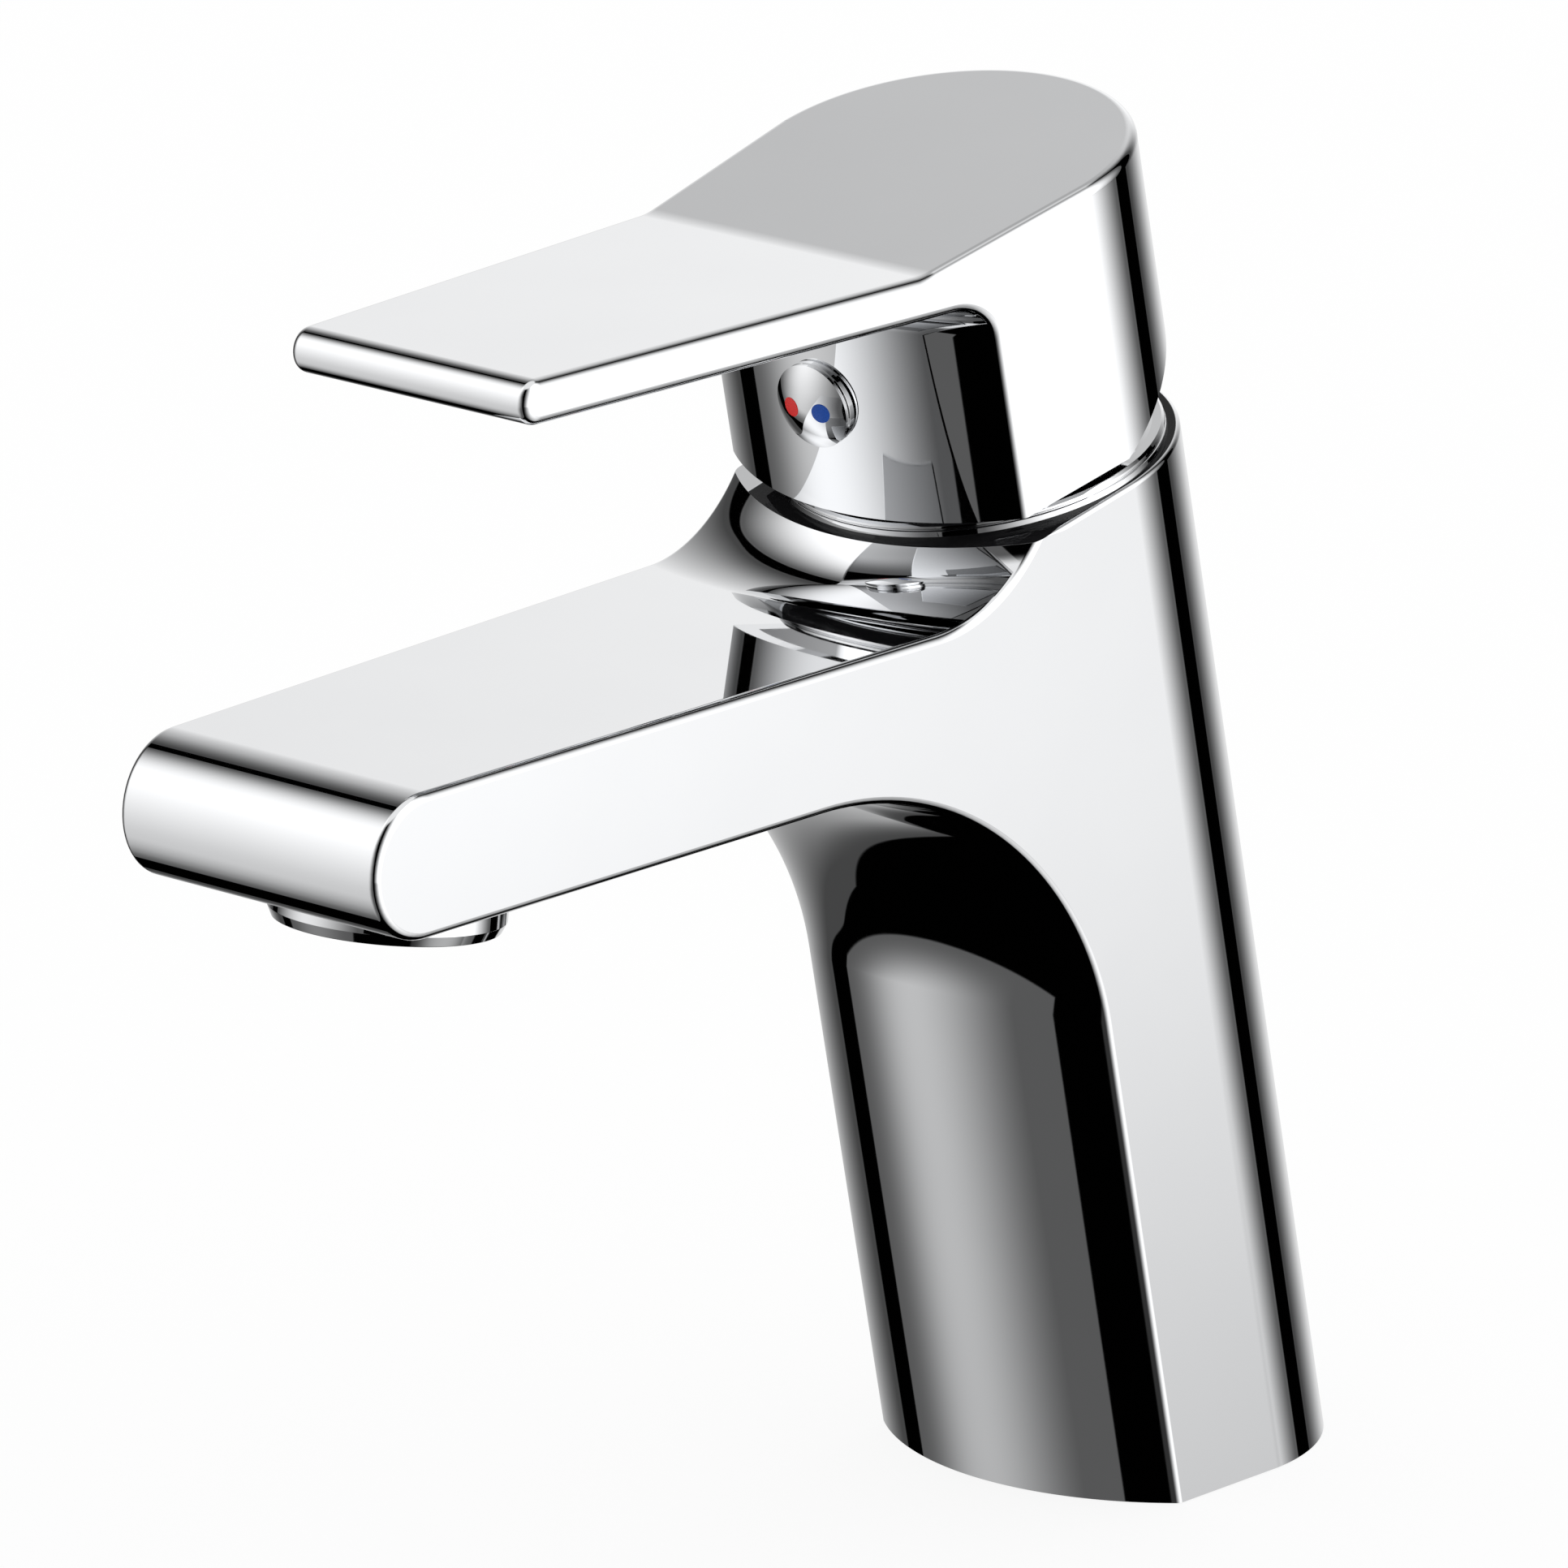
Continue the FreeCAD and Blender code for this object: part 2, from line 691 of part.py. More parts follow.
def make_retaining_nut():
    bore = "neck_radius + ring_clearance"
    nut = turned("retaining_nut", [
        (bore, "shoulder"), ("nut_radius", "shoulder"), ("nut_radius", "nut_top"), (bore, "nut_top")])
    sketch = new_sketch(nut, "notch_outline", "XY_Plane")
    half = "notch_width / 2"
    inner = f"{bore} - {PAST}"
    outer = f"{bore} + notch_reach"
    draw_polygon(sketch, [(inner, f"-{half}"), (outer, f"-{half}"), (outer, half), (inner, half)])
    bind(sketch, **{"AttachmentOffset.Base.z": "nut_top"})
    notch = nut.newObject("PartDesign::Pocket", "notch")
    notch.Profile = (sketch, [""])
    bind(notch, Length="notch_depth")
    ring = nut.newObject("PartDesign::PolarPattern", "notches")
    ring.Originals = [notch]
    ring.Axis = (sketch, ["N_Axis"])
    ring.Angle = 360
    ring.Occurrences = NOTCHES
    nut.Tip = ring
    place_leaning(nut, height="seat")
    return labelled(nut, "retaining_nut")


# Cartridge, each piece counted from the seat
PORTS = [("port_radius", "inlet_spread", "inlet_setback"), ("port_radius", "-inlet_spread", "inlet_setback"),
         ("riser_radius", "0", "-outlet_ahead")]


def make_cartridge_housing():
    housing = turned("cartridge_housing", [
        ("cavity_radius", "base_flange"), ("cartridge_radius", "base_flange"),
        ("cartridge_radius", "shoulder"), ("neck_radius", "shoulder"), ("neck_radius", "neck_top"),
        ("rotor_bore", "neck_top"), ("rotor_bore", "cavity_top"), ("cavity_radius", "cavity_top")])
    place_leaning(housing, height="seat")
    return labelled(housing, "cartridge_housing")


def make_cartridge_base():
    plate = turned("base_plate", [
        ("0", "0"), ("cartridge_radius", "0"), ("cartridge_radius", "base_flange"),
        ("cavity_radius - running_gap", "base_flange"), ("cavity_radius - running_gap", "fixed_disc_foot"),
        ("0", "fixed_disc_foot")])
    holes = []
    for number, (radius, across, depth) in enumerate(PORTS):
        holes.append(cylinder(f"base_port_{number}", radius, "fixed_disc_foot", (across, depth, "0")))
        holes.append(cylinder(f"seal_seat_{number}", "seal_radius", "seal_height", (across, depth, "0")))
    base = cut("cartridge_base", plate, fuse("base_holes", holes))
    place_leaning(base, height="seat")
    return labelled(base, "cartridge_base")


def make_port_seals():
    rings = []
    for number, (_, across, depth) in enumerate(PORTS):
        base = (across, depth, "0")
        outer = cylinder(f"seal_outer_{number}", "seal_radius - running_gap", "seal_height", base)
        inner = cylinder(f"seal_inner_{number}", "seal_radius - seal_wall", "seal_height", base)
        rings.append(cut(f"seal_{number}", outer, inner))
    seals = doc.addObject("Part::Compound", "port_seals")
    seals.Links = rings
    place_leaning(seals, height="seat")
    return labelled(seals, "port_seals")


def make_fixed_disc():
    disc = padded("fixed_disc", "fixed_disc_height", [("cavity_radius - slide_gap", "0", "0")] + PORTS)
    place_leaning(disc, height="seat + fixed_disc_foot")
    return labelled(disc, "fixed_disc")


def make_moving_disc():
    plate = padded("moving_plate", "moving_disc_height", [("moving_disc_radius", "0", "0")])
    hollow = cylinder("mixing_hollow", "mixing_radius", "mixing_depth")
    disc = cut("moving_disc", plate, hollow)
    place_leaning(disc, depth="slide_offset", height="seat + moving_disc_foot")
    return labelled(disc, "moving_disc")


def make_disc_driver():
    plate = cylinder("driver_plate", "moving_disc_radius", "driver_height")
    tongue_bar = box("tongue_bar", "tongue_width", "2 * moving_disc_radius", "driver_height + tongue_height",
                     ("-tongue_width / 2", "-moving_disc_radius", "0"))
    tongue_disc = cylinder("tongue_disc", "moving_disc_radius", "driver_height + tongue_height")
    blank = fuse("driver_blank", [plate, common("tongue", tongue_bar, tongue_disc)])
    socket = cylinder("ball_socket", "ball_radius + ball_clearance", "driver_height + tongue_height",
                      ("0", "-slide_offset", "ball_level - driver_foot - ball_radius - ball_clearance"))
    mouth = cylinder("mouth", "ball_mouth", "tongue_height", ("0", "-slide_offset", "driver_height"))
    driver = cut("disc_driver", blank, fuse("driver_hollows", [socket, mouth]))
    place_leaning(driver, depth="slide_offset", height="seat + driver_foot")
    return labelled(driver, "disc_driver")


def make_cartridge_rotor():
    flange = "cavity_radius - slide_gap"
    blank = turned("rotor_blank", [
        ("0", "rotor_foot"), (flange, "rotor_foot"), (flange, "flange_top"), ("rotor_radius", "flange_top"),
        ("rotor_radius", "rotor_top"), ("0", "rotor_top")])
    slot = box("spindle_slot", "spindle_width + 2 * slot_gap", "slot_front + slot_back", "rotor_top",
               ("-spindle_width / 2 - slot_gap", "-slot_front", f"rotor_foot - {PAST}"))
    track = box("driver_track", "tongue_width + 2 * slot_gap", "4 * rotor_radius",
                f"tongue_height + slide_gap + {PAST}",
                ("-tongue_width / 2 - slot_gap", "-2 * rotor_radius", f"rotor_foot - {PAST}"))
    hole = cylinder("pin_hole", "pin_radius + press_gap", "4 * rotor_radius",
                    ("-2 * rotor_radius", "0", "pivot"), axis=X_AXIS)
    rotor = cut("cartridge_rotor", blank, fuse("rotor_hollows", [slot, track, hole]))
    place_leaning(rotor, height="seat")
    return labelled(rotor, "cartridge_rotor")


def make_pivot_pin():
    pin = cylinder("pivot_pin", "pin_radius", "2 * (rotor_radius - pin_inset)",
                   ("pin_inset - rotor_radius", "-(seat + pivot) * sin(lean_angle)",
                    "(seat + pivot) * cos(lean_angle)"), axis=X_AXIS)
    return labelled(pin, "pivot_pin")


def make_spindle():
    bar = box("spindle_bar", "spindle_width", "spindle_depth", "spindle_heel + spindle_rise",
              ("-spindle_width / 2", "-spindle_depth / 2", "-spindle_heel"))
    neck = cylinder("spindle_neck_rod", "spindle_neck", "spindle_arm", ("0", "0", "-spindle_arm"))
    ball = doc.addObject("Part::Sphere", "spindle_ball")
    bind(ball, Radius="ball_radius")
    ball.setExpression("Placement.Base.z", formula("-spindle_arm"))
    eye = cylinder("spindle_eye", "pin_radius + running_gap", "2 * spindle_width",
                   ("-spindle_width", "0", "0"), axis=X_AXIS)
    spindle = cut("spindle", fuse("spindle_blank", [bar, neck, ball]), eye)
    place_leaning(spindle, height="seat + pivot")
    return labelled(spindle, "spindle")


# Handle: cap and lever in one casting
def cap_section(inset=0.0):
    return section(level("cap_half_width"), size("cap_taper"), size("cap_corner"),
                   size("front_radius"), inset)


def lever_edges():
    """Side outline of the lever, with the soft fold up to the cap's slanting top."""
    inner_depth = -size("cap_corner") / 2
    under = level("lever_under")
    top = level("lever_top")
    low, nose, high = round_nose(size("lever_reach"), under, top)
    fold = side_point(lean_depth(level("cap_front") - size("fold_ahead"), top), top)
    tangent = size("fold_radius") * math.tan(LEAN / 2)
    fold_start = fold - FreeCAD.Vector(0, tangent, 0)
    fold_end = fold + FreeCAD.Vector(0, tangent * math.cos(LEAN), tangent * math.sin(LEAN))
    centre = fold_start + FreeCAD.Vector(0, 0, size("fold_radius"))
    middle = centre + FreeCAD.Vector(0, math.sin(LEAN / 2), -math.cos(LEAN / 2)) * size("fold_radius")
    inner_low = side_point(lean_depth(inner_depth, under), under)
    inner_high = leaning(0, inner_depth, level("cap_top"))
    fold_arc = Part.Arc(fold_start, middle, fold_end).toShape()
    return [line(inner_low, low), nose, line(high, fold_start), fold_arc, line(fold_end, inner_high),
            line(inner_high, inner_low)]


def back_relief(foot):
    """Wedge taken off below the back of the cap, so that it clears the rim when the lever is up."""
    rise = FAR * math.tan(math.radians(level("cap_bevel")))
    corners = [leaning(0, 0, foot), leaning(0, FAR, foot + rise), leaning(0, FAR, foot - FAR),
               leaning(0, 0, foot - FAR), leaning(0, 0, foot)]
    return side_extrusion(Part.makePolygon(corners).Edges)


def handle_shell():
    cap_top = level("cap_top")
    foot = level("cap_foot")
    wedge = side_wedge(level("cap_half_width"), size("cap_taper"))
    lever = side_extrusion(lever_edges()).common(wedge)
    cap = lean_prism(cap_section(), foot, cap_top)
    shell = cap.fuse(lever).removeSplitter()
    shell = shell.makeFillet(size("root_round"), root_edges(shell, level("lever_under")))

    def is_outer(ends):
        on_foot = all(axis_height(end) < foot + TOUCH for end in ends)
        on_back = all(axis_depth(end) > -TOUCH for end in ends)
        return not (on_foot or on_back)

    edges = side_edges(shell, is_outer)
    back_rim = [edge for edge in shell.Edges
                if all(abs(axis_height(end) - cap_top) < TOUCH for end in edge_ends(edge))
                and axis_depth(edge.CenterOfMass) > TOUCH]
    shell = shell.makeFillet(size("handle_round"), edges + back_rim)
    shell = shell.cut(back_relief(foot))
    hollow = lean_prism(cap_section(size("cap_wall")), foot - PAST, cap_top - size("cap_roof"))
    return shell.cut(hollow)


def make_handle():
    shell = shaped("handle_shell", handle_shell())
    boss_foot = "seat + pivot + boss_rise"
    boss = place_leaning(box("boss", "boss_width", "boss_depth", f"cap_top - cap_roof / 2 - ({boss_foot})",
                             ("0", "0", "0")),
                         depth="-boss_depth / 2", height=boss_foot, across="-boss_width / 2")
    socket = place_leaning(
        box("socket", "spindle_width + 2 * socket_gap", "spindle_depth + 2 * socket_gap",
            f"spindle_rise - boss_rise + socket_gap + {PAST}", ("0", "0", "0")),
        depth="-spindle_depth / 2 - socket_gap", height=f"{boss_foot} - {PAST}",
        across="-spindle_width / 2 - socket_gap")
    button_end = "-cap_front - button_seat - cap_wall - button_gap"
    openings = [socket]
    for name, radius, inner, outer in (
            ("screw_hole", "screw_radius + running_gap", "0", "boss_depth / 2"),
            ("button_hole", "button_stem + button_gap", button_end, "-cap_front"),
            ("button_spot", "button_radius + button_gap", "-cap_front - button_seat", "-cap_front")):
        hole = cylinder(name, radius, f"({outer}) - ({inner}) + {PAST}")
        openings.append(place_forward(hole, f"-({inner})", "button_level"))
    handle = cut("handle", fuse("handle_blank", [shell, boss]), fuse("handle_openings", openings))
    return labelled(handle, "handle")


def make_grub_screw():
    shank = cylinder("screw_shank", "screw_radius", "(boss_depth - spindle_depth) / 2 - socket_gap")
    key = cylinder("screw_key", "key_radius", "key_depth",
                   ("0", "0", "(boss_depth - spindle_depth) / 2 - socket_gap - key_depth"))
    screw = cut("grub_screw", shank, key)
    place_forward(screw, "-spindle_depth / 2", "button_level")
    return labelled(screw, "grub_screw")


def make_index_button():
    stem = cylinder("button_plug", "button_stem", "cap_wall", ("0", "0", "-cap_wall"))
    edge = cylinder("button_head", "button_radius", "button_edge + button_dome + button_seat")
    dome = doc.addObject("Part::Sphere", "button_ball")
    curve = "((button_radius * button_radius + button_dome * button_dome) / (2 * button_dome))"
    bind(dome, Radius=curve)
    dome.setExpression("Placement.Base.z", formula(f"button_edge + button_seat + button_dome - {curve}"))
    blank = fuse("button_blank", [stem, common("button_cap", edge, dome)])
    marks = []
    pocket_foot = "button_edge + button_seat + button_dome - mark_depth"
    for name, side in (("hot", -1), ("cold", 1)):
        marks.append(cylinder(f"{name}_pocket", "mark_radius", "button_radius",
                              (f"{side} * mark_offset", "0", pocket_foot)))
    seat = "cap_front + button_seat"
    for name, pocket in zip(("hot_mark", "cold_mark"), marks):
        mark = common(name, blank, pocket)
        place_forward(mark, seat, "button_level")
        labelled(mark, name)
    button = cut("index_button", blank, fuse("mark_pockets", marks))
    place_forward(button, seat, "button_level")
    return labelled(button, "index_button")


# Aerator, counted from its lower face up into the spout
def make_aerator_housing():
    housing = turned("aerator_housing", [
        ("aerator_bore - aerator_lip", "0"), ("aerator_radius - aerator_bevel", "0"),
        ("aerator_radius", "bevel_height"), ("aerator_radius", "aerator_collar"),
        ("aerator_thread", "aerator_collar"), ("aerator_thread", "aerator_height"),
        ("aerator_bore", "aerator_height"), ("aerator_bore", "aerator_lip"),
        ("aerator_bore - aerator_lip", "aerator_lip")])
    place_aerator(housing)
    return labelled(housing, "aerator_housing")


def make_aerator_core():
    rim = "aerator_bore - aerator_gap"
    foot = "(aerator_lip + screen_height)"
    blank = turned("core_blank", [
        ("0", foot), (rim, foot), (rim, f"{foot} + core_flange"), ("core_waist", f"{foot} + 2 * core_flange"),
        ("core_waist", "aerator_height - 2 * core_flange"), (rim, "aerator_height - core_flange"),
        (rim, "aerator_height"), ("0", "aerator_height")])
    ways = []
    for i in range(CORE_HOLES):
        angle = 360 * i / CORE_HOLES
        ways.append(cylinder(f"core_way_{i}", "core_hole", f"aerator_height + {PAST}",
                             (f"core_pitch * cos({angle})", f"core_pitch * sin({angle})", "0")))
    core = cut("aerator_core", blank, fuse("core_ways", ways))
    place_aerator(core)
    return labelled(core, "aerator_core")


def make_aerator_screen():
    holes = [("screen_hole", "0", "0")]
    for ring, count in enumerate(SCREEN_RINGS, start=1):
        for i in range(count):
            angle = 360 * i / count + SCREEN_TURN
            holes.append(("screen_hole", f"{ring} * screen_pitch * cos({angle})",
                          f"{ring} * screen_pitch * sin({angle})"))
    screen = padded("aerator_screen", "screen_height", [("aerator_bore - aerator_gap", "0", "0")] + holes)
    place_aerator(screen, "aerator_lip")
    return labelled(screen, "aerator_screen")


def make_aerator_washer():
    washer = padded("aerator_washer", "washer_height",
                    [("aerator_thread", "0", "0"), ("washer_bore", "0", "0")])
    place_aerator(washer, "aerator_height")
    return labelled(washer, "aerator_washer")


make_faucet_body()
make_base_seal()
make_cover_ring()
make_retaining_nut()
make_cartridge_housing()
make_cartridge_base()
make_port_seals()
make_fixed_disc()
make_moving_disc()
make_disc_driver()
make_cartridge_rotor()
make_pivot_pin()
make_spindle()
make_handle()
make_grub_screw()
make_index_button()
make_aerator_housing()
make_aerator_core()
make_aerator_screen()
make_aerator_washer()
doc.recompute()

for item in doc.Objects:
    if {"Invalid", "Error"} & set(item.State):
        raise RuntimeError(f"{item.Name} failed: {item.State}")
for item in NODES:
    if item.Shape.isNull() or not item.Shape.isValid():
        raise RuntimeError(f"{item.Label} has no valid shape")

os.makedirs("parts", exist_ok=True)
for item in NODES:
    item.Shape.exportStep(f"parts/{item.Label}.step")
    print(f"{item.Label}: {len(item.Shape.Solids)} solid, {item.Shape.Volume:.1f} mm3")
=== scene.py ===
import json
import math

import bpy
from mathutils import Matrix, Vector
from mathutils.geometry import tessellate_polygon


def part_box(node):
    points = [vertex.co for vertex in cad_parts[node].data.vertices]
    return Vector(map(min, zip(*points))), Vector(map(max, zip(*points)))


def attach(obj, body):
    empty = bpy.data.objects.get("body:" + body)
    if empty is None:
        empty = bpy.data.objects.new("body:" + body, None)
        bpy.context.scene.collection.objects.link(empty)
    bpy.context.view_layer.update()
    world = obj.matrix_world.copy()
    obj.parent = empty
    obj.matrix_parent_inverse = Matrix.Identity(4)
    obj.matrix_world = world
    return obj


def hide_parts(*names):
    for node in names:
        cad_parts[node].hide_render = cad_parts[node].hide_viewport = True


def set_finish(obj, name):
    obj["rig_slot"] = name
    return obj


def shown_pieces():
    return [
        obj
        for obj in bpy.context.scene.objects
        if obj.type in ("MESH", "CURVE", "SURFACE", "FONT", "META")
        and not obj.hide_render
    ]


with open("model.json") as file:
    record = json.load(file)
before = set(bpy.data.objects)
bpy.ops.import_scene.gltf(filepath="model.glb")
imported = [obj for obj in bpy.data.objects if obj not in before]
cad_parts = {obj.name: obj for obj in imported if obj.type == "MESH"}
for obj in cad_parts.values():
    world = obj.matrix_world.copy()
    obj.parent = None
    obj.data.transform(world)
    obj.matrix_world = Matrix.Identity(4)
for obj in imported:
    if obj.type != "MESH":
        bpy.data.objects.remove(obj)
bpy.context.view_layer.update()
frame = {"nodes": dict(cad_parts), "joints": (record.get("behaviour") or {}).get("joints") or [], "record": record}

# Axes of the leaning column, from the joint that turns the handle about it
MM = 0.001
JOINTS = {joint["name"]: joint for joint in frame["joints"]}
UP = Vector(JOINTS["temperature_turn"]["axis"]).normalized()
ACROSS = Vector((1, 0, 0))
BACK = UP.cross(ACROSS)
SKY = Vector((0, 0, 1))
FLIP = Vector((-1, 1, 1))
LEAN = math.atan2(BACK.z, BACK.y)

# Body casting, in metres
HALF_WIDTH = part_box("faucet_body")[1].x
BODY_TAPER = math.radians(1.95)
BODY_CORNER = 16.4 * MM
FRONT_RADIUS = 34.4 * MM
BODY_ROUND = 1.0 * MM
SPOUT_LEVEL = 104.4 * MM
SPOUT_THICKNESS = 16.65 * MM
SPOUT_REACH = -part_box("faucet_body")[0].y
SPOUT_TOP = SPOUT_LEVEL + SPOUT_THICKNESS / 2
SPOUT_UNDER = SPOUT_LEVEL - SPOUT_THICKNESS / 2
ARCH_RADIUS = 42.0 * MM
COLLAR_RISE = 7.5 * MM
COLLAR_RADIUS = 11.8 * MM
COLLAR_SPREAD = 7.7 * MM
CORNER_HALF = HALF_WIDTH - math.tan(BODY_TAPER) * BODY_CORNER
RIM = (SPOUT_TOP + COLLAR_RISE + BODY_CORNER * math.sin(LEAN)) / math.cos(LEAN)
RIM_ROUND = 0.6 * MM
RIM_FADE = 4.0 * MM
FOOT_WALL = 5.5 * MM
CHAMBER_HEIGHT = 60.0 * MM
GROOVE_INSETS = (1.5 * MM, 4.0 * MM)
GROOVE_DEPTH = 2.0 * MM
FOOT_HOLES = ((8.0 * MM, 5.0 * MM, 4.5 * MM, 12.0 * MM), (-8.0 * MM, 5.0 * MM, 4.5 * MM, 12.0 * MM),
              (0.0, -11.0 * MM, 3.4 * MM, 14.0 * MM))
NUT_BORE = 20.0 * MM
NUT_BORE_DEPTH = 9.3 * MM
CARTRIDGE_BORE = 17.75 * MM
CARTRIDGE_BORE_DEPTH = 30.55 * MM

# Handle
CAP_HALF_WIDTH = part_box("handle")[1].x
CAP_TAPER = math.radians(3.66)
CAP_CORNER = 16.9 * MM
CAP_FOOT = RIM + 3.0 * MM
CAP_BEVEL = math.radians(27.7)
CAP_WALL = 2.8 * MM
CAP_ROOF = 4.3 * MM
HANDLE_ROUND = 1.2 * MM
LEVER_REACH = -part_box("handle")[0].y
LEVER_THICKNESS = 5.2 * MM
LEVER_UNDER = SPOUT_TOP + 36.1 * MM
LEVER_TOP = LEVER_UNDER + LEVER_THICKNESS
ROOT_RADIUS = 5.0 * MM
FOLD_AHEAD = 1.347 * MM
FOLD_RADIUS = 12.0 * MM
BOSS_WIDTH = 16.0 * MM
BOSS_DEPTH = 15.0 * MM
BOSS_FOOT = RIM + 8.5 * MM

# Cover ring
RING_RADIUS = HALF_WIDTH - 0.8 * MM
RING_HEIGHT = 1.45 * MM
RING_GROOVE = 0.3 * MM
RING_DRAFT = 0.22
RING_EDGE = 0.08 * MM
RING_LEDGE = 1.6 * MM
RING_TOP = 2.5 * MM
RING_BORE = 14.0 * MM
RING_BORE_DEPTH = 1.6 * MM
RING_MOUTH = 12.3 * MM

# Index button, counted along the axis, and its two marks
BUTTON_HEIGHT = RIM + 16.5 * MM
BUTTON_RADIUS = 5.0 * MM
BUTTON_SEAT = 0.4 * MM
BUTTON_EDGE = 1.0 * MM
BUTTON_DOME = 1.3 * MM
BUTTON_GROOVE = 0.2 * MM
BUTTON_ROUND = 0.06 * MM
BUTTON_STEM = 4.0 * MM
DOME_RADIUS = (BUTTON_RADIUS ** 2 + BUTTON_DOME ** 2) / (2 * BUTTON_DOME)
MARK_OFFSET = 2.15 * MM
MARK_RADIUS = 1.15 * MM
MARK_RISE = 0.04 * MM
MARK_DEPTH = 0.5 * MM

# Aerator
OUTLET_TILT = math.radians(7.3)
AERATOR_DROP = 5.15 * MM
AERATOR_RADIUS = 13.2 * MM
AERATOR_COLLAR = 8.0 * MM
AERATOR_THREAD = 11.8 * MM
AERATOR_BORE = 10.5 * MM
AERATOR_HEIGHT = 14.0 * MM
AERATOR_LIP = 0.8 * MM
AERATOR_EDGE = 0.12 * MM
AERATOR_GAP = 0.1 * MM
OUTLET_BORE_DEPTH = 3.0 * MM
AERATOR_BEVEL = (0.56 * MM, 1.2 * MM)
AERATOR_SETBACK = 23.0 * MM
AERATOR_AXIS = Vector((0, math.sin(OUTLET_TILT), math.cos(OUTLET_TILT)))
OUTLET = Vector((0, AERATOR_SETBACK - SPOUT_REACH, SPOUT_UNDER)) - AERATOR_AXIS * AERATOR_DROP

# Shading normals, in degrees: how late the half-round ends turn under, the angles from their top over which
# this comes in and goes out again, and how far the lever's underside faces forward
NOSE_LATE = 13.0
NOSE_EASE_IN = (95, 125)
NOSE_EASE_OUT = (145, 180)
LEVER_SHADE = 7.0

# Mesh density
COLUMNS = 24
ROUND_STEPS = 8
BACK_STEPS = 72
TURN_STEPS = 96
SMALL_TURN_STEPS = 48
COLLAR_STEPS = 20
SPOUT_NOSE_STEPS = 32
ARCH_STEPS = 40
COLUMN_STEPS = 6
CAP_STEPS = 4
ROOT_STEPS = 16
LEVER_NOSE_STEPS = 24
FOLD_STEPS = 16
WIDEST_TURN = math.pi / 3
BISECTIONS = 50
WELD = 2e-6


def at(across, depth, height):
    """Point given across the axis, behind it and along it."""
    return ACROSS * across + BACK * depth + UP * height


def on_level(across, depth, z):
    """Point at height z above the deck, given across the leaning axis and behind it."""
    return at(across, depth, (z - depth * BACK.z) / UP.z)


def mirrored(corners):
    return [(point * FLIP, normal * FLIP) for point, normal in reversed(corners)]


def shares(count):
    return [i / count for i in range(count + 1)]


def points(corners):
    return [point for point, _ in corners]


def smooth(share):
    """Soft step from 0 to 1, held at both ends."""
    share = min(max(share, 0.0), 1.0)
    return share * share * (3 - 2 * share)


class Skin:
    """Patches of points with their exact normals, joined into one mesh."""

    def __init__(self):
        self.corners = []
        self.faces = []

    def grid(self, rows, closed=False):
        start = len(self.corners)
        width = len(rows[0])
        for row in rows:
            self.corners.extend(row)
        for i in range(len(rows) - 1):
            for j in range(width if closed else width - 1):
                a = start + i * width + j
                b = start + i * width + (j + 1) % width
                self.faces.append((a, b, b + width, a + width))

    def flat(self, loops, normal, shade=None):
        """Flat face inside the first loop, with the other loops as holes; shade is its shading normal."""
        start = len(self.corners)
        first = normal.orthogonal().normalized()
        second = normal.cross(first)
        outlines = [[Vector((p.dot(first), p.dot(second), 0)) for p in loop] for loop in loops]
        for loop in loops:
            self.corners.extend((p, shade or normal) for p in loop)
        for triangle in tessellate_polygon(outlines):
            self.faces.append(tuple(start + i for i in triangle))

    def wall(self, first, second, middle, facing_in=True):
        """Wall between two loops of equal count, facing the middle or away from it."""
        count = len(first)
        rows = [[], []]
        for i in range(count):
            along = first[(i + 1) % count] - first[i - 1]
            normal = along.cross(second[i] - first[i]).normalized()
            if (normal.dot(first[i] - middle) > 0) == facing_in:
                normal = -normal
            rows[0].append((first[i], normal))
            rows[1].append((second[i], normal))
        self.grid(rows, closed=True)

    def spin(self, strips, origin, axis, steps=TURN_STEPS):
        """Turn strips of (radius, height, normal out, normal along) about an axis."""
        first = axis.orthogonal().normalized()
        second = axis.cross(first)
        turns = [2 * math.pi * i / steps for i in range(steps)]
        spokes = [first * math.cos(turn) + second * math.sin(turn) for turn in turns]
        for strip in strips:
            rows = []
            for radius, height, out, along in strip:
                rows.append([(origin + axis * height + spoke * radius, spoke * out + axis * along)
                             for spoke in spokes])
            self.grid(rows, closed=True)

    def welded(self):
        """Number of the shared point for each corner, and those points."""
        cells = {}
        shared = []
        numbers = []
        around = [(i, j, k) for i in (-1, 0, 1) for j in (-1, 0, 1) for k in (-1, 0, 1)]
        for point, _ in self.corners:
            cell = tuple(math.floor(c / WELD) for c in point)
            number = None
            for step in around:
                found = cells.get((cell[0] + step[0], cell[1] + step[1], cell[2] + step[2]))
                if found is not None:
                    number = found
                    break
            if number is None:
                number = len(shared)
                shared.append(point)
                cells[cell] = number
            numbers.append(number)
        return numbers, shared

    def build(self, name):
        numbers, shared = self.welded()
        polygons = []
        normals = []
        for face in self.faces:
            kept = [i for k, i in enumerate(face) if numbers[i] != numbers[face[k - 1]]]
            if len(set(numbers[i] for i in kept)) < 3:
                continue
            a, b, c = (self.corners[i][0] for i in (kept[0], kept[1], kept[-1]))
            facing = sum((self.corners[i][1] for i in kept), Vector())
            if (b - a).cross(c - a).dot(facing) < 0:
                kept.reverse()
            polygons.append([numbers[i] for i in kept])
            normals.extend(self.corners[i][1].normalized() for i in kept)
        mesh = bpy.data.meshes.new(name)
        mesh.from_pydata(shared, [], polygons)
        mesh.polygons.foreach_set("use_smooth", [True] * len(polygons))
        mesh.normals_split_custom_set(normals)
        piece = bpy.data.objects.new(name, mesh)
        bpy.context.scene.collection.objects.link(piece)
        return piece


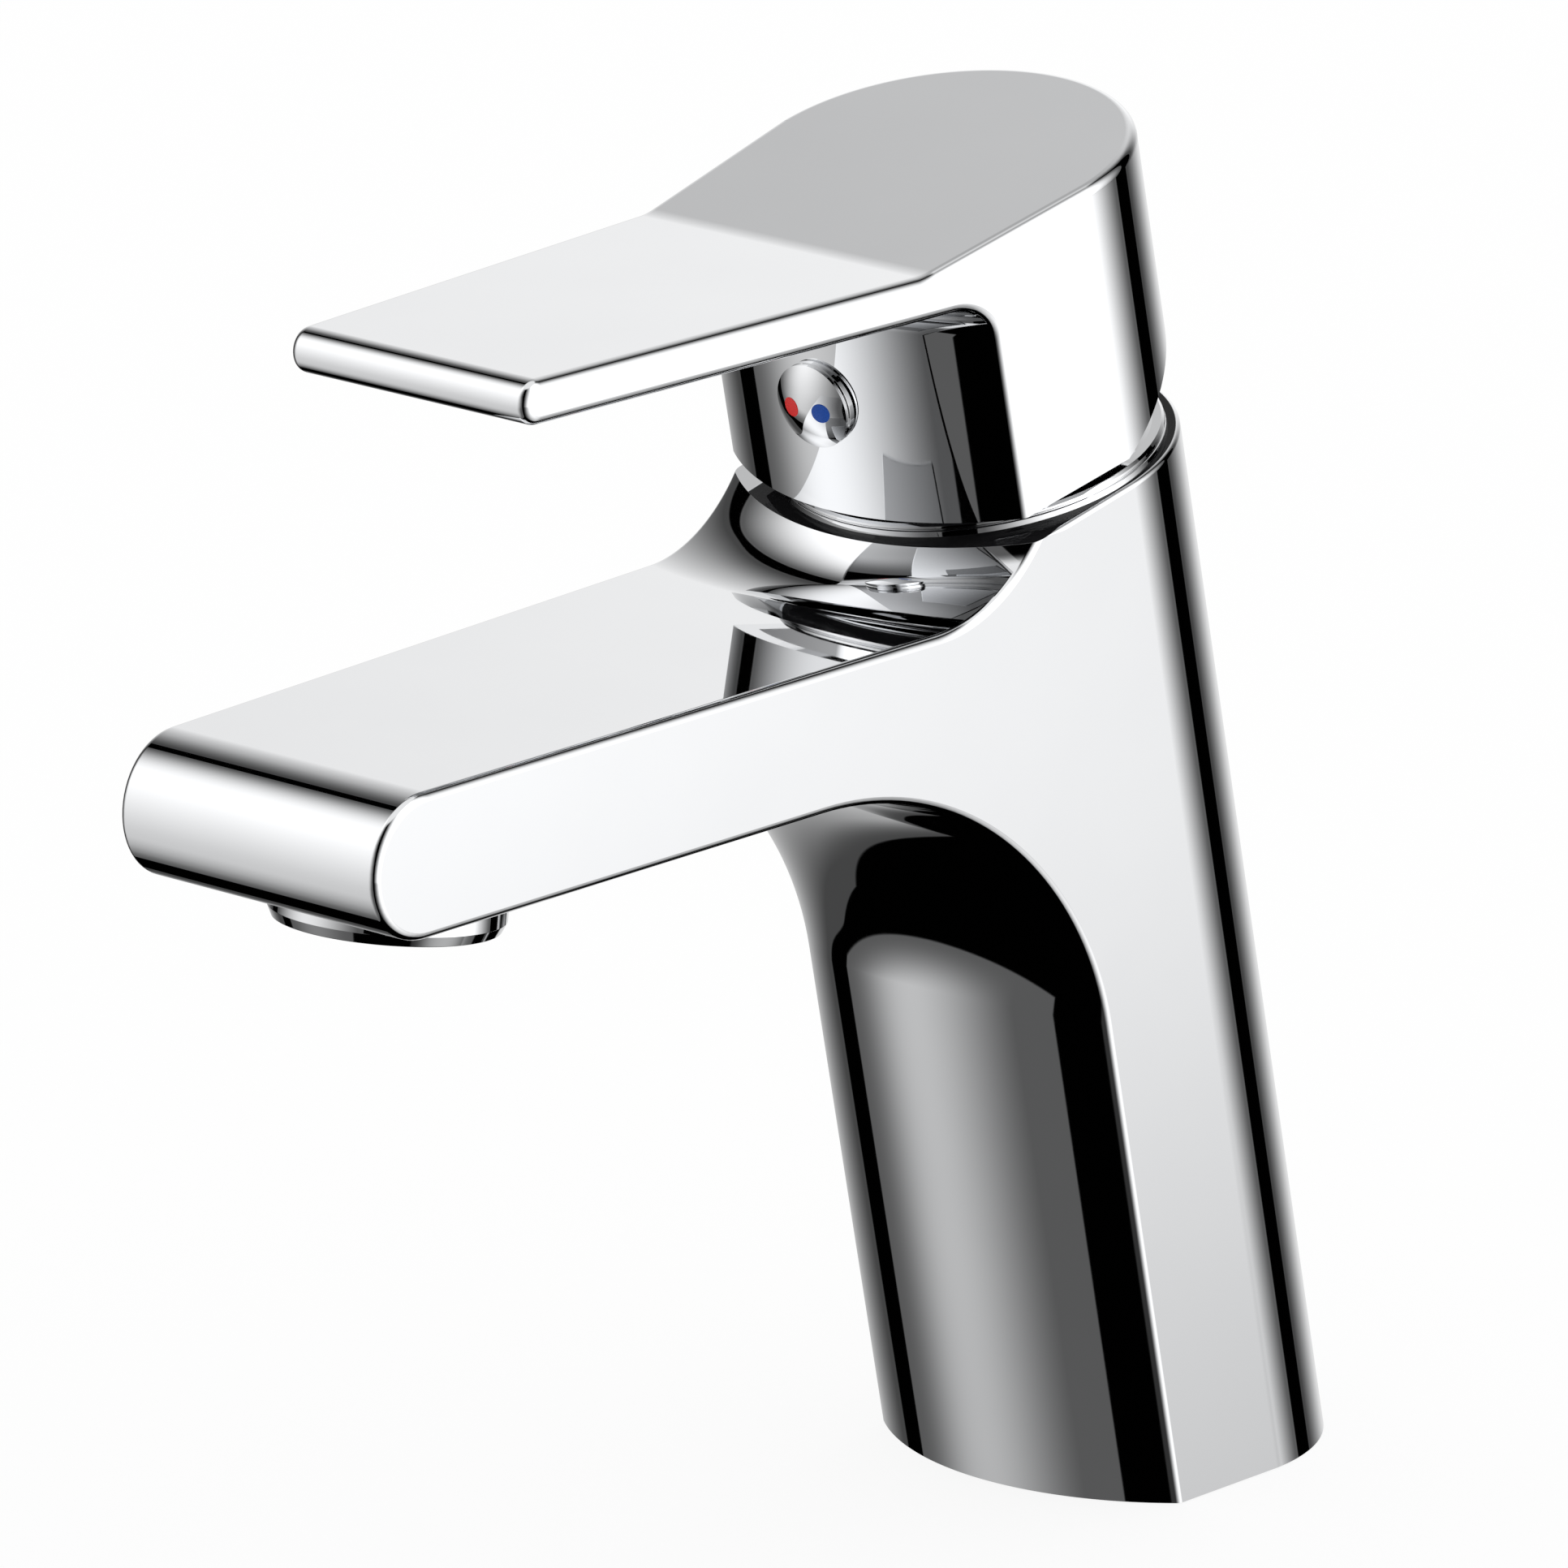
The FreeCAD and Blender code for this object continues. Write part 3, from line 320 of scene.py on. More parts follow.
def outline_strips(corners):
    """Strips for spin from (radius, height, rounding) corners, with the outside on the right of the way."""
    flats = [Vector((radius, height)) for radius, height, _ in corners]
    ways = [(flats[i + 1] - flats[i]).normalized() for i in range(len(flats) - 1)]
    sides = [Vector((way.y, -way.x)) for way in ways]
    strips = []
    start = flats[0]
    for i, (way, side) in enumerate(zip(ways, sides)):
        last = i == len(ways) - 1
        rounding = 0 if last else corners[i + 1][2]
        turn = 0 if last else way.angle_signed(ways[i + 1], 0)
        cut = rounding * math.tan(abs(turn) / 2)
        end = flats[i + 1] - way * cut
        strips.append([(*start, *side), (*end, *side)])
        start = flats[i + 1]
        if rounding > 0:
            sign = 1 if way.cross(ways[i + 1]) > 0 else -1
            centre = end - side * rounding * sign
            arc = []
            for share in shares(ROUND_STEPS):
                out = side.slerp(sides[i + 1], share)
                arc.append((*(centre + out * rounding * sign), *out))
            strips.append(arc)
            start = flats[i + 1] + ways[i + 1] * cut
    return strips


def eased(normal):
    """Shading normal of a half-round end, which turns under a little later than the round itself."""
    turn = math.degrees(math.atan2(-normal.y, normal.z))
    grown, gone = (smooth((turn - low) / (high - low)) for low, high in (NOSE_EASE_IN, NOSE_EASE_OUT))
    return Matrix.Rotation(-math.radians(NOSE_LATE * grown * (1 - gone)), 3, "X") @ normal


class Casting:
    """Plan shared by column and cap: half-round back, flat sides that close in, bulging front."""

    def __init__(self, half_width, taper, corner, rounding):
        self.half_width = half_width
        self.slope = math.tan(taper)
        self.taper = taper
        self.rounding = rounding
        corner_half = half_width - self.slope * corner
        self.centre = math.sqrt(FRONT_RADIUS ** 2 - corner_half ** 2) - corner
        self.side = (ACROSS - BACK * self.slope).normalized()

    def front(self, turn, radius=FRONT_RADIUS):
        return at(radius * math.sin(turn), self.centre - radius * math.cos(turn), 0)

    def front_normal(self, turn):
        return ACROSS * math.sin(turn) - BACK * math.cos(turn)

    def row(self, surface, reach):
        """Line across the casting, rounded into both flat sides. surface gives point and normal."""
        low = 0.0
        high = reach
        for _ in range(BISECTIONS):
            middle = (low + high) / 2
            point, normal = surface(middle)
            centre = point - normal * self.rounding
            if (centre - ACROSS * self.half_width).dot(self.side) + self.rounding > 0:
                high = middle
            else:
                low = middle
        half = [surface(low * share) for share in shares(COLUMNS)]
        point, normal = half[-1]
        centre = point - normal * self.rounding
        for share in shares(ROUND_STEPS)[1:]:
            out = normal.slerp(self.side, share)
            half.append((centre + out * self.rounding, out))
        return mirrored(half[1:]) + half

    def level(self, skin, first, second, normal, holes=(), shade=None):
        """Level face between two rows, with the rounded edges beside it."""
        edge = ROUND_STEPS + 1
        skin.grid([first[:edge], second[:edge]])
        skin.grid([first[-edge:], second[-edge:]])
        inner = slice(ROUND_STEPS, -ROUND_STEPS)
        skin.flat([points(first[inner]) + points(reversed(second[inner])), *holes], normal, shade)

    def front_rows(self, foot, top, count):
        """Rows up the bulging front between two heights, each a function of the turn."""
        def surface_at(share):
            def surface(turn):
                height = foot(turn) * (1 - share) + top(turn) * share
                return self.front(turn) + UP * height, self.front_normal(turn)
            return surface
        return [self.row(surface_at(share), WIDEST_TURN) for share in shares(count)]

    def ball_centre(self, turn, radius, under):
        """Centre of a ball that touches the bulging front and a level underside."""
        centre = self.front(turn, FRONT_RADIUS + radius)
        return centre + UP * ((under - radius - centre.z) / UP.z)

    def web_rows(self, radius, under, count):
        """Hollow rounding from the bulging front up to a level underside."""
        def surface_at(share):
            def surface(turn):
                spoke = (-self.front_normal(turn)).slerp(SKY, share)
                return self.ball_centre(turn, radius, under) + spoke * radius, -spoke
            return surface
        return [self.row(surface_at(share), WIDEST_TURN) for share in shares(count)]

    def nose_rows(self, reach, under, top, count):
        """Half-round end of a level bar, from its top down to its underside."""
        radius = (top - under) / 2
        centre = Vector((0, radius - reach, under + radius))
        rows = []
        for share in shares(count):
            normal = Vector((0, -math.sin(math.pi * share), math.cos(math.pi * share)))
            rows.append(self.row(lambda across: (ACROSS * across + centre + normal * radius, normal),
                                 2 * self.half_width))
        return [[(point, eased(normal)) for point, normal in row] for row in rows]

    def back_arc(self, height_at):
        """Half-round back from the right side to the left, at a height that depends on the depth."""
        arc = []
        for share in shares(BACK_STEPS):
            turn = math.pi * share
            lean = (math.pi + 2 * self.taper) * share - self.taper
            depth = self.half_width * math.sin(turn)
            point = at(self.half_width * math.cos(turn), depth, height_at(depth))
            arc.append((point, ACROSS * math.cos(lean) + BACK * math.sin(lean)))
        return arc

    def sides(self, skin, ends, foot, upper):
        """Flat sides behind the rows' ends; upper holds their upper edge from the back to the front."""
        right = ends + [at(self.half_width, 0, foot)] + upper
        skin.flat([right], self.side)
        skin.flat([[p * FLIP for p in right]], self.side * FLIP)

    def inset_plan(self, inset):
        """Front and back of the plan, drawn in by a wall, as (across, depth) pairs."""
        half = self.half_width - inset
        radius = FRONT_RADIUS - inset
        square = 1 + self.slope ** 2
        linear = half * self.slope - self.centre
        rest = half ** 2 + self.centre ** 2 - radius ** 2
        depth = (-linear - math.sqrt(linear ** 2 - square * rest)) / square
        reach = math.asin((half + self.slope * depth) / radius)
        turns = [reach * (2 * share - 1) for share in shares(2 * COLUMNS)]
        front = [(radius * math.sin(turn), self.centre - radius * math.cos(turn)) for turn in turns]
        back = [(half * math.cos(math.pi * share), half * math.sin(math.pi * share))
                for share in shares(BACK_STEPS)]
        return front, back


def lifted(row, below, height):
    """A row whose points run on, along the way from the row below, to a height along the axis."""
    moved = []
    for (point, normal), (under, _) in zip(row, below):
        way = point - under
        moved.append((point + way * ((height - point.dot(UP)) / way.dot(UP)), normal))
    return moved


def circle(origin, axis, radius, steps=TURN_STEPS):
    first = axis.orthogonal().normalized()
    second = axis.cross(first)
    turns = [2 * math.pi * i / steps for i in range(steps)]
    return [origin + (first * math.cos(turn) + second * math.sin(turn)) * radius for turn in turns]


# Body: collar, spout, arch and column as one skin, with the bores and the hollow foot
def collar_point(casting, across, share):
    depth = casting.centre - math.sqrt(FRONT_RADIUS ** 2 - across ** 2)
    rim = at(across, depth, RIM)
    radius = COLLAR_RADIUS + COLLAR_SPREAD * (across / CORNER_HALF) ** 2
    arc_z = SPOUT_TOP + radius
    drop = arc_z - rim.z
    arc_y = rim.y - math.sqrt(radius ** 2 - drop ** 2)
    turn = math.acos(drop / radius) * share
    return Vector((across, arc_y + radius * math.sin(turn), arc_z - radius * math.cos(turn)))


def collar_rows(casting, count):
    step = 0.01 * MM
    small = 0.001

    def surface_at(share):
        def surface(across):
            along = (collar_point(casting, across, share + small)
                     - collar_point(casting, across, share - small))
            sideways = (collar_point(casting, across + step, share)
                        - collar_point(casting, across - step, share))
            return collar_point(casting, across, share), sideways.cross(along).normalized()
        return surface
    return [casting.row(surface_at(share), HALF_WIDTH) for share in shares(count)]


def rim_edge(casting, start):
    """Point, normal and rounding along the column's upper edge, from the right front round the back."""
    side = []
    for share in shares(ROUND_STEPS):
        depth = start + RIM_FADE * share
        edge = at(casting.half_width + casting.slope * depth, depth, RIM)
        side.append((edge, casting.side, RIM_ROUND * smooth(share)))
    back = [(point, normal, RIM_ROUND) for point, normal in casting.back_arc(lambda depth: RIM)]
    left = [(point * FLIP, normal * FLIP, rounding) for point, normal, rounding in reversed(side)]
    return side + back + left


def rim_rows(edge):
    """Quarter-round rows over the upper edge, from the wall to the flat top."""
    rows = []
    for share in shares(ROUND_STEPS):
        turn = math.pi / 2 * share
        row = []
        for point, normal, rounding in edge:
            out = normal * math.cos(turn) + UP * math.sin(turn)
            row.append((point - (normal + UP - out) * rounding, out))
        rows.append(row)
    return rows


def build_body():
    casting = Casting(HALF_WIDTH, BODY_TAPER, BODY_CORNER, BODY_ROUND)
    skin = Skin()
    collar = collar_rows(casting, COLLAR_STEPS)
    collar[-1] = lifted(collar[-1], collar[-2], RIM)
    collar.reverse()
    nose = casting.nose_rows(SPOUT_REACH, SPOUT_UNDER, SPOUT_TOP, SPOUT_NOSE_STEPS)
    arch = casting.web_rows(ARCH_RADIUS, SPOUT_UNDER, ARCH_STEPS)
    arch.reverse()

    def foot_height(turn):
        return -casting.front(turn).dot(BACK) * BACK.z / UP.z

    def arch_height(turn):
        return casting.ball_centre(turn, ARCH_RADIUS, SPOUT_UNDER).dot(UP)

    column = casting.front_rows(foot_height, arch_height, COLUMN_STEPS)
    column[0] = [(p - UP * (p.z / UP.z), n) for p, n in column[0]]
    column.reverse()
    for rows in (collar, nose, arch, column):
        skin.grid(rows)
    casting.level(skin, collar[-1], nose[0], SKY)
    seat = OUTLET + AERATOR_AXIS * AERATOR_DROP
    bore = [p + AERATOR_AXIS * ((SPOUT_UNDER - p.z) / AERATOR_AXIS.z)
            for p in circle(seat, AERATOR_AXIS, AERATOR_RADIUS + AERATOR_GAP)]
    casting.level(skin, nose[-1], arch[0], -SKY, holes=[bore])
    bore_end = [p + AERATOR_AXIS * OUTLET_BORE_DEPTH for p in bore]
    skin.wall(bore, bore_end, seat)
    skin.flat([bore_end], -AERATOR_AXIS)
    ends = [row[-1][0] for row in collar + nose + arch + column]
    rim = rim_rows(rim_edge(casting, ends[0].dot(BACK)))
    skin.grid(rim)
    casting.sides(skin, ends, 0, points(reversed(rim[0][1:ROUND_STEPS + 2])))
    back_foot = casting.back_arc(lambda depth: -depth * BACK.z / UP.z)
    skin.grid([back_foot, rim[0][ROUND_STEPS + 1:-ROUND_STEPS - 1]])
    top_centre = at(0, 0, RIM)
    skin.flat([points(collar[0]) + points(rim[-1][1:-1]), circle(top_centre, UP, NUT_BORE)], UP)
    skin.spin(outline_strips([(NUT_BORE, 0, 0), (NUT_BORE, -NUT_BORE_DEPTH, 0),
                              (CARTRIDGE_BORE, -NUT_BORE_DEPTH, 0),
                              (CARTRIDGE_BORE, -CARTRIDGE_BORE_DEPTH, 0),
                              (0, -CARTRIDGE_BORE_DEPTH, 0)]), top_centre, UP)
    build_foot(casting, skin, points(column[-1]) + points(back_foot))
    return skin.build("body_casting")


def build_foot(casting, skin, outline):
    """Underside of the foot: seal groove, hose chamber and the threaded holes in its ceiling."""
    def loop(inset, place):
        front, back = casting.inset_plan(inset)
        return [place(across, depth) for across, depth in front + back]

    def deck(across, depth):
        return on_level(across, depth, 0)

    def groove(across, depth):
        return on_level(across, depth, GROOVE_DEPTH)

    outer, inner = GROOVE_INSETS
    chamber = loop(FOOT_WALL, deck)
    ceiling = loop(FOOT_WALL, lambda across, depth: at(across, depth, CHAMBER_HEIGHT))
    skin.flat([outline, loop(outer, deck)], -SKY)
    skin.flat([loop(outer, groove), loop(inner, groove)], -SKY)
    skin.flat([loop(inner, deck), chamber], -SKY)
    middle = Vector((0, 0, 0))
    skin.wall(loop(outer, deck), loop(outer, groove), middle)
    skin.wall(loop(inner, groove), loop(inner, deck), middle, facing_in=False)
    skin.wall(chamber, ceiling, middle)
    mouths = []
    for across, depth, radius, length in FOOT_HOLES:
        origin = at(across, depth, CHAMBER_HEIGHT)
        mouths.append(circle(origin, UP, radius, SMALL_TURN_STEPS))
        skin.spin(outline_strips([(0, length, 0), (radius, length, 0), (radius, 0, 0)]), origin, UP,
                  SMALL_TURN_STEPS)
    skin.flat([ceiling, *mouths], -UP)


# Handle: cap and lever as one skin, hollow below
def build_handle():
    casting = Casting(CAP_HALF_WIDTH, CAP_TAPER, CAP_CORNER, HANDLE_ROUND)
    skin = Skin()
    cap_front = casting.centre - FRONT_RADIUS
    cap_top = LEVER_TOP / UP.z + (FOLD_AHEAD - cap_front) * math.tan(LEAN)

    def root_height(turn):
        return casting.ball_centre(turn, ROOT_RADIUS, LEVER_UNDER).dot(UP)

    front = casting.front_rows(lambda turn: CAP_FOOT, root_height, CAP_STEPS)
    root = casting.web_rows(ROOT_RADIUS, LEVER_UNDER, ROOT_STEPS)
    nose = casting.nose_rows(LEVER_REACH, LEVER_UNDER, LEVER_TOP, LEVER_NOSE_STEPS)
    nose.reverse()
    fold_y = ((cap_front - FOLD_AHEAD) - LEVER_TOP * BACK.z) / BACK.y
    fold_centre = Vector((0, fold_y - FOLD_RADIUS * math.tan(LEAN / 2), LEVER_TOP + FOLD_RADIUS))
    fold = []
    for share in shares(FOLD_STEPS):
        normal = Vector((0, -math.sin(LEAN * share), math.cos(LEAN * share)))
        start = fold_centre - normal * FOLD_RADIUS
        fold.append(casting.row(lambda across: (start + ACROSS * across, normal), 2 * CAP_HALF_WIDTH))
    crown = casting.row(lambda across: (at(across, 0, cap_top), UP), 2 * CAP_HALF_WIDTH)
    for rows in (front, root, nose, fold):
        skin.grid(rows)
    forward = math.radians(LEVER_SHADE)
    casting.level(skin, root[-1], nose[0], -SKY, shade=Vector((0, -math.sin(forward), -math.cos(forward))))
    casting.level(skin, nose[-1], fold[0], SKY)
    casting.level(skin, fold[-1], crown, UP)
    ends = [row[-1][0] for row in front + root + nose + fold + [crown]]
    edge = ends[-1].dot(UP)
    casting.sides(skin, list(reversed(ends)), CAP_FOOT, [at(CAP_HALF_WIDTH, 0, edge)])
    half = crown[len(crown) // 2:]
    back = []
    for share in shares(BACK_STEPS):
        turn = math.pi * share
        tilt = 2 * CAP_TAPER * share
        spin = Matrix.Rotation(turn, 3, UP)
        spin_normal = Matrix.Rotation(turn + tilt, 3, UP)
        back.append([(spin @ point, spin_normal @ normal) for point, normal in half])
    skin.grid(back)
    bevel = casting.back_arc(lambda depth: CAP_FOOT + depth * math.tan(CAP_BEVEL))
    skin.grid([bevel, casting.back_arc(lambda depth: edge)])
    build_hollow(casting, skin, points(front[0]), points(bevel), cap_top - CAP_ROOF)
    return skin.build("lever_handle")


def build_hollow(casting, skin, front, bevel, roof):
    """Underside of the cap: its lower edge, the hollow inside and the boss on the spindle."""
    inner_front, inner_back = casting.inset_plan(CAP_WALL)
    low_front = [at(across, depth, CAP_FOOT) for across, depth in inner_front]
    low_back = [at(across, depth, CAP_FOOT + depth * math.tan(CAP_BEVEL)) for across, depth in inner_back]
    lower_edge = [bevel[-1], *front, bevel[0], low_back[0], *reversed(low_front), low_back[-1]]
    skin.flat([lower_edge], -UP)
    skin.flat([bevel + list(reversed(low_back))], BACK * math.sin(CAP_BEVEL) - UP * math.cos(CAP_BEVEL))
    low = low_front + low_back
    high = [at(p.dot(ACROSS), p.dot(BACK), roof) for p in low]
    skin.wall(low, high, at(0, 0, CAP_FOOT))
    skin.flat([high], -UP)
    corners = [(-1, -1), (1, -1), (1, 1), (-1, 1)]
    foot = [at(BOSS_WIDTH / 2 * i, BOSS_DEPTH / 2 * j, BOSS_FOOT) for i, j in corners]
    top = [at(BOSS_WIDTH / 2 * i, BOSS_DEPTH / 2 * j, roof + CAP_ROOF / 2) for i, j in corners]
    skin.flat([foot], -UP)
    skin.flat([top], UP)
    for i, normal in enumerate((-BACK, ACROSS, BACK, -ACROSS)):
        skin.flat([[foot[i], foot[(i + 1) % 4], top[(i + 1) % 4], top[i]]], normal)


# Cover ring, index button with its marks, and the aerator's housing
def build_cover_ring(plan_middle):
    """Ring centred on the column's plan, with its bore on the axis."""
    skin = Skin()
    foot = at(0, plan_middle, RIM)
    axis_foot = at(0, 0, RIM)
    middle = RING_HEIGHT / 2
    heights = (middle - RING_GROOVE / 2, middle, middle + RING_GROOVE / 2, RING_HEIGHT - RING_GROOVE)
    lower, waist, upper, brow = (RING_RADIUS - RING_DRAFT * height for height in heights)
    skin.spin(outline_strips([
        (RING_RADIUS, 0, 0), (lower, heights[0], RING_EDGE), (waist - RING_GROOVE, heights[1], RING_EDGE),
        (upper, heights[2], RING_EDGE), (brow, heights[3], RING_EDGE),
        (brow - RING_GROOVE, RING_HEIGHT, RING_EDGE),
        (RING_RADIUS - RING_LEDGE, RING_HEIGHT, RING_GROOVE), (RING_BORE, RING_TOP, 0)]), foot, UP)
    skin.spin(outline_strips([
        (RING_MOUTH, RING_TOP, 0), (RING_MOUTH, RING_BORE_DEPTH, 0), (RING_BORE, RING_BORE_DEPTH, 0),
        (RING_BORE, 0, 0)]), axis_foot, UP)
    skin.flat([circle(foot + UP * RING_TOP, UP, RING_BORE),
               circle(axis_foot + UP * RING_TOP, UP, RING_MOUTH)], UP)
    skin.flat([circle(foot, UP, RING_RADIUS), circle(axis_foot, UP, RING_BORE)], -UP)
    return skin.build("trim_ring")


def dome_strip(radius, reach, height):
    """Cap of a ball whose top is at a height on the axis, out to a distance from it."""
    end = math.asin(reach / radius)
    strip = []
    for share in shares(2 * ROUND_STEPS):
        turn = end * (1 - share)
        strip.append((radius * math.sin(turn), height - radius * (1 - math.cos(turn)),
                      math.sin(turn), math.cos(turn)))
    return strip


def build_button(origin):
    skin = Skin()
    shoulder = BUTTON_SEAT + BUTTON_EDGE
    top = shoulder + BUTTON_DOME
    middle = BUTTON_SEAT + BUTTON_EDGE / 2
    skin.spin(outline_strips([
        (0, -CAP_WALL, 0), (BUTTON_STEM, -CAP_WALL, 0), (BUTTON_STEM, 0, 0), (BUTTON_RADIUS, 0, 0),
        (BUTTON_RADIUS, middle - BUTTON_GROOVE, BUTTON_ROUND),
        (BUTTON_RADIUS - BUTTON_GROOVE, middle, BUTTON_ROUND),
        (BUTTON_RADIUS, middle + BUTTON_GROOVE, BUTTON_ROUND), (BUTTON_RADIUS, shoulder, 0)]), origin, -BACK)
    skin.spin([dome_strip(DOME_RADIUS, BUTTON_RADIUS, top)], origin, -BACK)
    return skin.build("index_plug")


def build_mark(name, origin, side):
    """Round enamel spot let into the button's dome."""
    skin = Skin()
    lean = side * math.asin(MARK_OFFSET / DOME_RADIUS)
    axis = ACROSS * math.sin(lean) - BACK * math.cos(lean)
    ball = origin - BACK * (BUTTON_SEAT + BUTTON_EDGE + BUTTON_DOME - DOME_RADIUS)
    rim = math.sqrt((DOME_RADIUS + MARK_RISE) ** 2 - MARK_RADIUS ** 2)
    foot = rim - MARK_DEPTH
    skin.spin(outline_strips([(0, foot, 0), (MARK_RADIUS, foot, 0), (MARK_RADIUS, rim, 0)]), ball, axis,
              SMALL_TURN_STEPS)
    skin.spin([dome_strip(DOME_RADIUS + MARK_RISE, MARK_RADIUS, DOME_RADIUS + MARK_RISE)], ball, axis,
              SMALL_TURN_STEPS)
    return skin.build(name)


def build_aerator():
    skin = Skin()
    inset, rise = AERATOR_BEVEL
    mouth = AERATOR_BORE - AERATOR_LIP
    skin.spin(outline_strips([
        (mouth, 0, 0), (AERATOR_RADIUS - inset, 0, AERATOR_EDGE), (AERATOR_RADIUS, rise, AERATOR_EDGE),
        (AERATOR_RADIUS, AERATOR_COLLAR, 0), (AERATOR_THREAD, AERATOR_COLLAR, 0),
        (AERATOR_THREAD, AERATOR_HEIGHT, 0), (AERATOR_BORE, AERATOR_HEIGHT, 0),
        (AERATOR_BORE, AERATOR_LIP, 0), (mouth, AERATOR_LIP, AERATOR_EDGE),
        (mouth, 0, 0)]), OUTLET, AERATOR_AXIS)
    return skin.build("aerator_ring")


def dress(piece, body, node, slot):
    """Let a piece stand for a CAD node and move with its body."""
    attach(piece, body)
    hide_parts(node)
    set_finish(piece, slot)


def front_depth(half_width, taper, corner):
    """Depth of the foremost point of the bulging front."""
    return Casting(half_width, taper, corner, 0).centre - FRONT_RADIUS


BUTTON_FOOT = at(0, front_depth(CAP_HALF_WIDTH, CAP_TAPER, CAP_CORNER) + BUTTON_SEAT, BUTTON_HEIGHT)
PLAN_MIDDLE = (HALF_WIDTH + front_depth(HALF_WIDTH, BODY_TAPER, BODY_CORNER)) / 2
dress(build_body(), "body", "faucet_body", "chrome_body")
dress(build_handle(), "handle", "handle", "chrome_handle")
dress(build_cover_ring(PLAN_MIDDLE), "body", "cover_ring", "chrome_trim")
dress(build_button(BUTTON_FOOT), "handle", "index_button", "chrome_trim")
dress(build_mark("hot_spot", BUTTON_FOOT, -1), "handle", "hot_mark", "red_enamel")
dress(build_mark("cold_spot", BUTTON_FOOT, 1), "handle", "cold_mark", "blue_enamel")
dress(build_aerator(), "body", "aerator_housing", "chrome_trim")


class Graph:
    """Shorthand for building a node tree."""

    def __init__(self, tree):
        self.nodes = tree.nodes
        self.links = tree.links

    def node(self, kind, **settings):
        node = self.nodes.new(kind)
        for name, value in settings.items():
            setattr(node, name, value)
        return node

    def feed(self, socket, value):
        if isinstance(value, bpy.types.NodeSocket):
            self.links.new(value, socket)
        else:
            socket.default_value = value

    def math(self, operation, *values):
        node = self.node("ShaderNodeMath", operation=operation)
        for socket, value in zip(node.inputs, values):
            self.feed(socket, value)
        return node.outputs[0]

    def spread(self, value, low, high, first=0.0, last=1.0, kind="SMOOTHSTEP"):
        """Map low..high onto first..last, held at both ends."""
        node = self.node("ShaderNodeMapRange", interpolation_type=kind)
        for name, number in (("Value", value), ("From Min", low), ("From Max", high),
                             ("To Min", first), ("To Max", last)):
            self.feed(node.inputs[name], number)
        return node.outputs["Result"]

    def noise(self, place, scale, detail=2.0):
        """Value of a noise that has this many cells per metre."""
        node = self.node("ShaderNodeTexNoise")
        self.feed(node.inputs["Vector"], place)
        self.feed(node.inputs["Scale"], scale)
        self.feed(node.inputs["Detail"], detail)
        return node.outputs["Fac"]

    def blend(self, amount, first, second):
        node = self.node("ShaderNodeMix", data_type="RGBA")
        self.feed(node.inputs["Factor"], amount)
        node.inputs["A"].default_value = (*first, 1)
        node.inputs["B"].default_value = (*second, 1)
        return node.outputs["Result"]


# Materials, each one a pair of near colours, a range of roughness and a fine relief
CHROME_COLOURS = ((0.855, 0.862, 0.875), (0.885, 0.892, 0.903))
CLOUD_CELLS = 60
FINE_CELLS = 900
FINE_DETAIL = 3.0
FINE_RANGE = (0.3, 0.7)
# Painted shade on the column's flat top under the cover ring: its near-black colour, the left and front limits of
# the painted area, their softness and the heights of the flat top
SEAT_SHADE_COLOUR = (0.013, 0.013, 0.014)
SEAT_LEFT = -17.2 * MM
SEAT_FRONT = -53.0 * MM
SEAT_SOFTNESS = 0.1 * MM
SEAT_LEVELS = (RIM - 0.03 * MM, RIM - 0.01 * MM)


def make_material(name, colours, roughness, metallic=0.0, relief=2e-6, stretch=(1, 1, 1), specular=0.5):
    material = bpy.data.materials.new(name)
    material.use_nodes = True
    graph = Graph(material.node_tree)
    shader = graph.nodes["Principled BSDF"]
    shader.inputs["Metallic"].default_value = metallic
    shader.inputs["Specular IOR Level"].default_value = specular
    place = graph.node("ShaderNodeTexCoord").outputs["Object"]
    mapping = graph.node("ShaderNodeMapping")
    mapping.inputs["Scale"].default_value = stretch
    graph.feed(mapping.inputs["Vector"], place)
    cloud = graph.noise(place, CLOUD_CELLS)
    fine = graph.noise(mapping.outputs["Vector"], FINE_CELLS, FINE_DETAIL)
    graph.feed(shader.inputs["Base Color"], graph.blend(cloud, *colours))
    graph.feed(shader.inputs["Roughness"], graph.spread(fine, *FINE_RANGE, *roughness))
    bump = graph.node("ShaderNodeBump")
    bump.inputs["Strength"].default_value = 1.0
    bump.inputs["Distance"].default_value = relief
    graph.feed(bump.inputs["Height"], fine)
    graph.feed(shader.inputs["Normal"], bump.outputs["Normal"])
    return material


